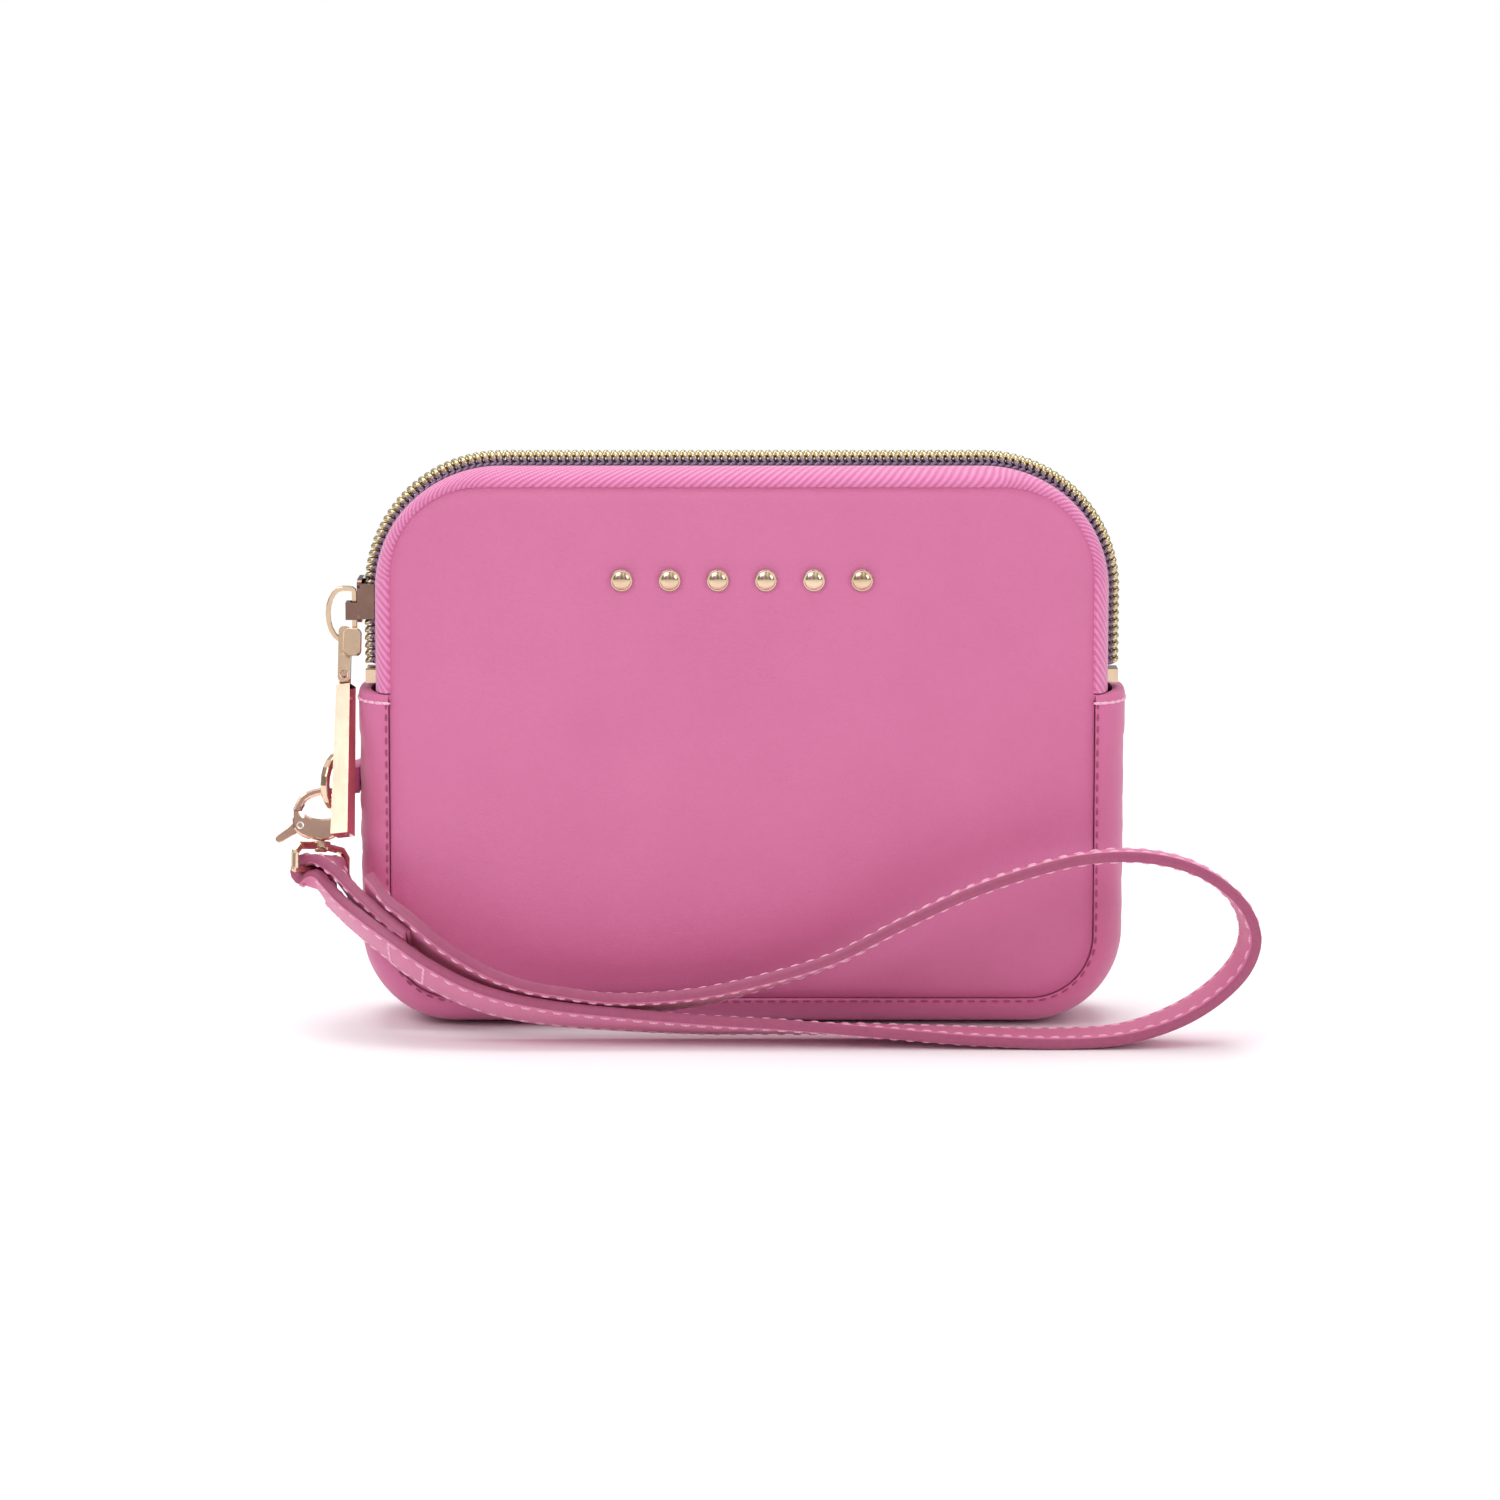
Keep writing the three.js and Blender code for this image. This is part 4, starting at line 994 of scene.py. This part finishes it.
@dataclass
class Hardware:
    """Slider, pull, attachment ring, clasp, swivel and studs."""

    finishes: Finishes

    def build(self) -> None:
        """Finishes each metal piece."""
        gold, rose = self.finishes.gold, self.finishes.rose
        for name, material, bevel in (
            ("slider_body", self.finishes.mirror, 0.3),
            ("pull_ring", gold, 0.18), ("pull_shackle", gold, 0.2),
            ("pull_pin", rose, 0.15), ("pull_bar", rose, 0.28), ("attachment_ring", gold, 0.2),
            ("clasp_body", rose, 0.2), ("clasp_gate", rose, 0.15), ("gate_pin", gold, 0.12),
            ("swivel_post", rose, 0.12), ("strap_ring", gold, 0.12),
            ("gate_spring", self.finishes.steel, 0.05),
        ):
            finish_node(name, material, bevel)
        for index in range(STUD_COUNT):
            self._stud(f"ornament_stud_{index + 1}")

    def _stud(self, node: str) -> None:
        """A turned stud: a round base with a rim, and a low dome."""
        low, high = (Vector(corner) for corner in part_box(node))
        middle = (low + high) / 2
        radius = (high.x - low.x) / 2
        face = low.y + 1.2 * MM
        deselect()
        bpy.ops.mesh.primitive_cylinder_add(vertices=40, radius=radius, depth=0.5 * MM,
                                            location=(middle.x, face - 0.25 * MM, middle.z),
                                            rotation=(math.pi / 2, 0, 0))
        obj = bpy.context.object
        obj.name = node + "_dome"
        bpy.ops.object.transform_apply(location=False, rotation=True, scale=True)
        bpy.ops.object.transform_apply(location=True, rotation=False, scale=False)
        rings = ((0.86, 0.02), (0.8, -0.06), (0.7, 0.22), (0.45, 0.17), (0.2, 0.08))
        bpy.ops.object.mode_set(mode="EDIT")
        bpy.ops.mesh.select_mode(type="FACE")
        bpy.ops.mesh.select_all(action="DESELECT")
        mesh = bmesh.from_edit_mesh(obj.data)
        front = min(mesh.faces, key=lambda f: f.calc_center_median().y)
        front.select = True
        bmesh.update_edit_mesh(obj.data)
        size = 1.0
        for share, rise in rings:
            bpy.ops.mesh.extrude_region_move(TRANSFORM_OT_translate={"value": (0, -rise * MM, 0)})
            bpy.ops.transform.resize(value=(share / size, 1, share / size))
            size = share
        bpy.ops.object.mode_set(mode="OBJECT")
        apply_modifier(obj, "BEVEL", width=0.08 * MM, segments=2, limit_method="ANGLE",
                       angle_limit=math.radians(50))
        shade(obj, 60)
        paint(obj, self.finishes.gold)
        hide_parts(node)
        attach(obj, "front")


@dataclass
class Tab:
    """The leather tab that holds the attachment ring."""

    finishes: Finishes

    def build(self) -> None:
        """Rounds the tab from its solid and sets it on the wallet's body."""
        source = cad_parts["attachment_tab"]
        mesh = source.data.copy()
        obj = bpy.data.objects.new("attachment_tab_leather", mesh)
        bpy.context.collection.objects.link(obj)
        mesh.transform(source.matrix_world)
        apply_modifier(obj, "BEVEL", width=0.3 * MM, segments=3, limit_method="ANGLE",
                       angle_limit=math.radians(50))
        apply_modifier(obj, "SUBSURF", levels=1, subdivision_type="SIMPLE")
        shade(obj, 40)
        paint(obj, self.finishes.gusset)
        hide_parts("attachment_tab")
        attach(obj, "root")


# ---------------------------------------------------------------- wrist strap
# x, y, z and the roll in degrees of the width about the line of the strap.
STRAP_ROUTE = (
    (-64.6, -24.3, 18.8, -29), (-67.2, -22.9, 20.6, -28), (-71.3, -20.0, 23.6, -26),
    (-75.4, -16.4, 27.0, -20), (-78.9, -12.4, 30.4, -9), (-81.7, -9.5, 32.6, 3),
    (-82.9, -8.6, 32.6, -25), (-84.1, -8.0, 31.5, -38), (-84.5, -8.3, 29.8, -32),
    (-83.7, -9.2, 28.5, -7), (-82.4, -10.3, 28.0, 22), (-80.4, -12.4, 26.4, 25),
    (-77.4, -16.0, 24.2, 26), (-73.1, -20.4, 21.5, 28), (-68.9, -23.1, 18.9, 28),
    (-64.8, -25.0, 16.1, 30), (-60.4, -26.3, 13.5, 30), (-54.1, -27.3, 10.4, 30),
    (-46.9, -28.0, 8.0, 30), (-36.3, -28.1, 6.1, 28), (-24.6, -28.1, 5.0, 26),
    (-8.2, -27.9, 3.9, 22), (6, -27.8, 3.5, 17), (24, -27.6, 2.7, 9), (44, -27.5, 1.6, 2),
    (62, -27.5, 1.15, 0), (74, -27.5, 2.1, 0), (84.4, -27.5, 5.7, -3), (92.0, -27.5, 10.8, -5),
    (96.6, -27.5, 16.3, -7), (98.0, -27.6, 21.6, -8), (96.4, -27.5, 26.9, -6),
    (92.2, -27.5, 31.5, -5), (86.2, -27.5, 34.9, -5), (79, -27.5, 36.7, -6),
    (71.8, -27.5, 37.0, -7), (63.7, -27.6, 36.0, -9), (53.7, -27.6, 33.3, -9),
    (43.5, -27.6, 29.6, -9), (31, -27.6, 23.6, -10), (18, -27.7, 16.8, -13),
    (4, -27.7, 12.2, -16), (-9, -27.8, 9.2, -20), (-24.4, -28.0, 8.0, -24),
    (-34.3, -28.1, 8.9, -27), (-42.1, -28.1, 10.2, -28), (-50.0, -27.4, 12.9, -29),
    (-57.0, -26.4, 16.8, -29), (-61.4, -25.3, 19.9, -29), (-65.2, -23.3, 22.9, -28),
    (-69.0, -20.9, 25.6, -27), (-72.3, -18.3, 29.2, -25),
)


class StrapLine:
    """The middle line of the strap with its width and thickness directions."""

    def __init__(self, count: int = 900) -> None:
        route = np.array(STRAP_ROUTE, float)
        padded = np.vstack([2 * route[0] - route[1], route, 2 * route[-1] - route[-2]])
        fine: list[np.ndarray] = []
        for i in range(len(route) - 1):
            fine += self._piece(padded[i:i + 4], 24)
        fine.append(route[-1])
        line = np.array(fine)
        run = np.concatenate([[0], np.cumsum(np.linalg.norm(np.diff(line[:, :3], axis=0), axis=1))])
        self.length = float(run[-1])
        self.run = np.linspace(0, self.length, count)
        self.points = np.stack([np.interp(self.run, run, line[:, k]) for k in range(3)], axis=1)
        roll = np.radians(np.interp(self.run, run, line[:, 3]))
        along = np.gradient(self.points, axis=0)
        along /= np.linalg.norm(along, axis=1)[:, None]
        front = np.tile([0.0, -1.0, 0.0], (count, 1))
        front -= along * np.sum(front * along, axis=1)[:, None]
        front /= np.linalg.norm(front, axis=1)[:, None]
        inside = np.cross(front, along)
        self.along = along
        self.width = front * np.cos(roll)[:, None] + inside * np.sin(roll)[:, None]
        self.out = np.cross(along, self.width)

    @staticmethod
    def _piece(p: np.ndarray, steps: int) -> list[np.ndarray]:
        """Centripetal curve between the two middle ones of four points."""
        gap = [max(np.linalg.norm(p[k + 1, :3] - p[k, :3]) ** 0.5, 1e-4) for k in range(3)]
        t1 = (p[1] - p[0]) / gap[0] - (p[2] - p[0]) / (gap[0] + gap[1]) + (p[2] - p[1]) / gap[1]
        t2 = (p[2] - p[1]) / gap[1] - (p[3] - p[1]) / (gap[1] + gap[2]) + (p[3] - p[2]) / gap[2]
        t1, t2 = t1 * gap[1], t2 * gap[1]
        result = []
        for i in range(steps):
            t = i / steps
            point = (p[1] + t1 * t + (-3 * p[1] + 3 * p[2] - 2 * t1 - t2) * t**2
                     + (2 * p[1] - 2 * p[2] + t1 + t2) * t**3)
            point[3] = p[1, 3] + (p[2, 3] - p[1, 3]) * t
            result.append(point)
        return result

    def at(self, run: float) -> tuple[np.ndarray, np.ndarray, np.ndarray, np.ndarray]:
        """Point, direction, width and thickness directions at a length along the strap."""
        pick = [np.array([np.interp(run, self.run, a[:, k]) for k in range(3)])
                for a in (self.points, self.along, self.width, self.out)]
        return pick[0], *(v / np.linalg.norm(v) for v in pick[1:])


@dataclass
class Strap:
    """Two plies of leather with painted edges, sewn near both edges and across the lap."""

    finishes: Finishes
    line: StrapLine = field(default_factory=StrapLine)

    def _swept(self, name: str, section: Sequence[tuple[float, float]], columns: int) -> bpy.types.Object:
        """Sweeps a closed section, given as width and thickness offsets, along the strap."""
        count = len(section)

        def place(u: float, v: float) -> tuple[float, float, float]:
            point, _, width, out = self.line.at((u + 1) / 2 * self.line.length)
            w, n = section[round((v + 1) / 2 * count) % count]
            return tuple(point + width * w + out * n)

        obj = laid(name, columns, count, place,
                   lambda u, v: ((u + 1) / 2 * self.line.length, (v + 1) * SIZES.strap_width))
        merge_and_close(obj)
        return obj

    def _ply(self, name: str, low: float, high: float) -> bpy.types.Object:
        """One ply: a flat section, its faces a little fuller between the stitch rows."""
        half = SIZES.strap_width / 2 - 0.12
        outer = high > 0
        top = [(half - 0.3, 0.0), (4.45, 0.0), (4.2, -0.1), (3.95, 0.0), (2.2, 0.07), (0.0, 0.1)]
        top = top + [(-w, n) for w, n in reversed(top[:-1])]
        rim = 0.16
        face, back = (high, low) if outer else (low, high)
        sign = 1 if outer else -1
        section = [(half, back + sign * rim), (half, face - sign * rim * 1.6)]
        section += [(w, face + sign * n) for w, n in top]
        section += [(-half, face - sign * rim * 1.6), (-half, back + sign * rim)]
        section += [(-half + rim, back), (0.0, back), (half - rim, back)]
        obj = self._swept(name, section, 620)
        shade(obj, 60)
        return paint(obj, self.finishes.strap)

    def _edges(self) -> bpy.types.Object:
        """The paint bead over both cut edges."""
        parts = []
        thick = SIZES.strap_ply + SIZES.strap_glue / 2 - 0.02
        for sign in (-1, 1):
            half = sign * (SIZES.strap_width / 2 - 0.2)
            section = [(half, -thick + 0.1), (half + sign * 0.2, -thick + 0.06),
                       (half + sign * 0.36, -thick * 0.6), (half + sign * 0.42, 0.0),
                       (half + sign * 0.36, thick * 0.6), (half + sign * 0.2, thick - 0.06),
                       (half, thick - 0.1)]
            parts.append(self._swept("strap_painted_edges", section, 620))
        activate(parts[0])
        parts[1].select_set(True)
        bpy.ops.object.join()
        shade(parts[0], 60)
        return paint(parts[0], self.finishes.edge)

    def _stitches(self) -> bpy.types.Object:
        """Both rows on both faces, and the cross seams that close the lap."""
        face = SIZES.strap_ply + SIZES.strap_glue / 2
        spots: list[Spot] = []
        pitch = 3.1
        for index in range(1, int(self.line.length / pitch)):
            point, along, width, out = self.line.at(index * pitch)
            for row in (-4.2, 4.2):
                for sign in (-1, 1):
                    at = point + width * row + out * sign * (face - 0.02)
                    spots.append(Spot(at, along, np.cross(out * sign, along), out * sign))
        end = self.line.length
        for run in (58.0, 66.0, end - 3.0, end - 11.0):
            for step in range(-3, 4):
                point, _, width, out = self.line.at(run)
                at = point + width * step * 1.25 + out * (face + 0.03)
                spots.append(Spot(at, width * 0.55, np.cross(out, width), out))
        obj = scattered("strap_stitches", stitch_shape(2.2, 0.62, 0.6), spots)
        return paint(obj, self.finishes.stitch)

    def build(self) -> None:
        """Makes the strap and rides it on its body."""
        near = SIZES.strap_glue / 2
        outer = self._ply("strap_outer_leather", near, near + SIZES.strap_ply)
        inner = self._ply("strap_inner_leather", -near - SIZES.strap_ply, -near)
        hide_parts("strap_outer_ply")
        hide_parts("strap_inner_ply")
        for obj in (outer, inner, self._edges(), self._stitches()):
            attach(obj, "strap")
        LOG.info("strap length %.0f mm", self.line.length)


# ---------------------------------------------------------------- studio
@dataclass
class Studio:
    """Pale floor, soft lights and the camera."""

    def build(self) -> None:
        """Sets the stage and the camera."""
        scene = bpy.context.scene
        scene.view_settings.view_transform = "Standard"
        deselect()
        bpy.ops.mesh.primitive_plane_add(size=6, location=(0, 0, -0.0001))
        floor = bpy.context.object
        floor.name = "studio floor"
        t = NodeTree("studio floor")
        cloud = t.add("TexNoise", Vector=t.place, Scale=3.0)
        reach = t.add("VectorMath", {"operation": "LENGTH"}, Vector=t.place).outputs["Value"]
        far = t.add("MapRange", {"interpolation_type": "SMOOTHSTEP"}, Value=reach, From_Min=0.16,
                    From_Max=0.75).outputs["Result"]
        near = t.mix(cloud.outputs[0], linear(250, 250, 250), linear(254, 254, 254))
        floor.data.materials.append(
            t.finish(Base_Color=t.mix(far, near, (0, 0, 0, 1)), Roughness=0.9,
                     Specular_IOR_Level=t.ramp(far, 0.3, 0.0),
                     Emission_Color=(1, 1, 1, 1), Emission_Strength=far))
        world = bpy.data.worlds.new("studio")
        scene.world = world
        world.use_nodes = True
        self._sky(world.node_tree)
        self._light("key", (-0.7, -0.9, 1.1), 0.8, 6.0)
        self._light("fill", (0.9, -0.8, 0.5), 0.5, 2.0)
        self._light("top", (0.0, 0.3, 1.3), 1.0, 9.0)
        camera_data = bpy.data.cameras.new("camera")
        camera_data.lens = 121.7
        camera_data.sensor_width = 36
        camera = bpy.data.objects.new("camera", camera_data)
        scene.collection.objects.link(camera)
        elevation = math.radians(9)
        target = Vector((1.58, 0, 53.2)) * MM
        direction = Vector((0, -math.cos(elevation), math.sin(elevation)))
        camera.location = target + direction
        camera.rotation_euler = (-direction).to_track_quat("-Z", "Y").to_euler()
        scene.camera = camera

    @staticmethod
    def _sky(tree: bpy.types.NodeTree) -> None:
        """White room seen by the camera; what lights the wallet is darker towards the horizon."""
        background = tree.nodes["Background"]
        background.inputs[1].default_value = 1.0
        coordinates = tree.nodes.new("ShaderNodeTexCoord")
        split = tree.nodes.new("ShaderNodeSeparateXYZ")
        tree.links.new(coordinates.outputs["Generated"], split.inputs[0])
        ramp = tree.nodes.new("ShaderNodeValToRGB")
        tree.links.new(split.outputs[2], ramp.inputs[0])
        ramp.color_ramp.elements[0].position = 0.02
        ramp.color_ramp.elements[0].color = (0.3, 0.3, 0.3, 1)
        ramp.color_ramp.elements[1].position = 0.55
        ramp.color_ramp.elements[1].color = (1, 1, 1, 1)
        screens = tree.nodes.new("ShaderNodeTexWave")
        screens.inputs["Scale"].default_value = 0.75
        screens.inputs["Distortion"].default_value = 1.2
        tree.links.new(coordinates.outputs["Generated"], screens.inputs[0])
        shade_ramp = tree.nodes.new("ShaderNodeMapRange")
        shade_ramp.inputs["To Min"].default_value = 0.4
        shade_ramp.inputs["To Max"].default_value = 1.15
        tree.links.new(screens.outputs[1], shade_ramp.inputs[0])
        product = tree.nodes.new("ShaderNodeVectorMath")
        product.operation = "MULTIPLY"
        tree.links.new(ramp.outputs[0], product.inputs[0])
        tree.links.new(shade_ramp.outputs[0], product.inputs[1])
        path = tree.nodes.new("ShaderNodeLightPath")
        mix = tree.nodes.new("ShaderNodeMix")
        mix.data_type = "RGBA"
        tree.links.new(path.outputs["Is Camera Ray"], mix.inputs[0])
        tree.links.new(product.outputs[0], mix.inputs[6])
        mix.inputs[7].default_value = (1, 1, 1, 1)
        tree.links.new(mix.outputs[2], background.inputs[0])

    @staticmethod
    def _light(name: str, place: tuple[float, float, float], size: float, power: float) -> None:
        """A square soft light that faces the wallet."""
        data = bpy.data.lights.new(name, "AREA")
        data.size = size
        data.energy = power
        light = bpy.data.objects.new(name, data)
        light.location = place
        towards = Vector((0, 0, 0.05)) - Vector(place)
        light.rotation_euler = towards.to_track_quat("-Z", "Y").to_euler()
        bpy.context.scene.collection.objects.link(light)


def corners(bounds: Sequence[Sequence[float]]) -> list[list[float]]:
    """Two corners as plain lists."""
    return [[float(c) for c in corner] for corner in bounds]


def main() -> None:
    """Builds the wallet's looks in order."""
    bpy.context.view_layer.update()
    finishes = Finishes()
    Body(finishes).build()
    LOG.info("body done")
    Zip(finishes).build()
    LOG.info("zip done")
    Hardware(finishes).build()
    Tab(finishes).build()
    Strap(finishes).build()
    Studio().build()
    bpy.context.view_layer.update()


if __name__ == "__main__":
    main()
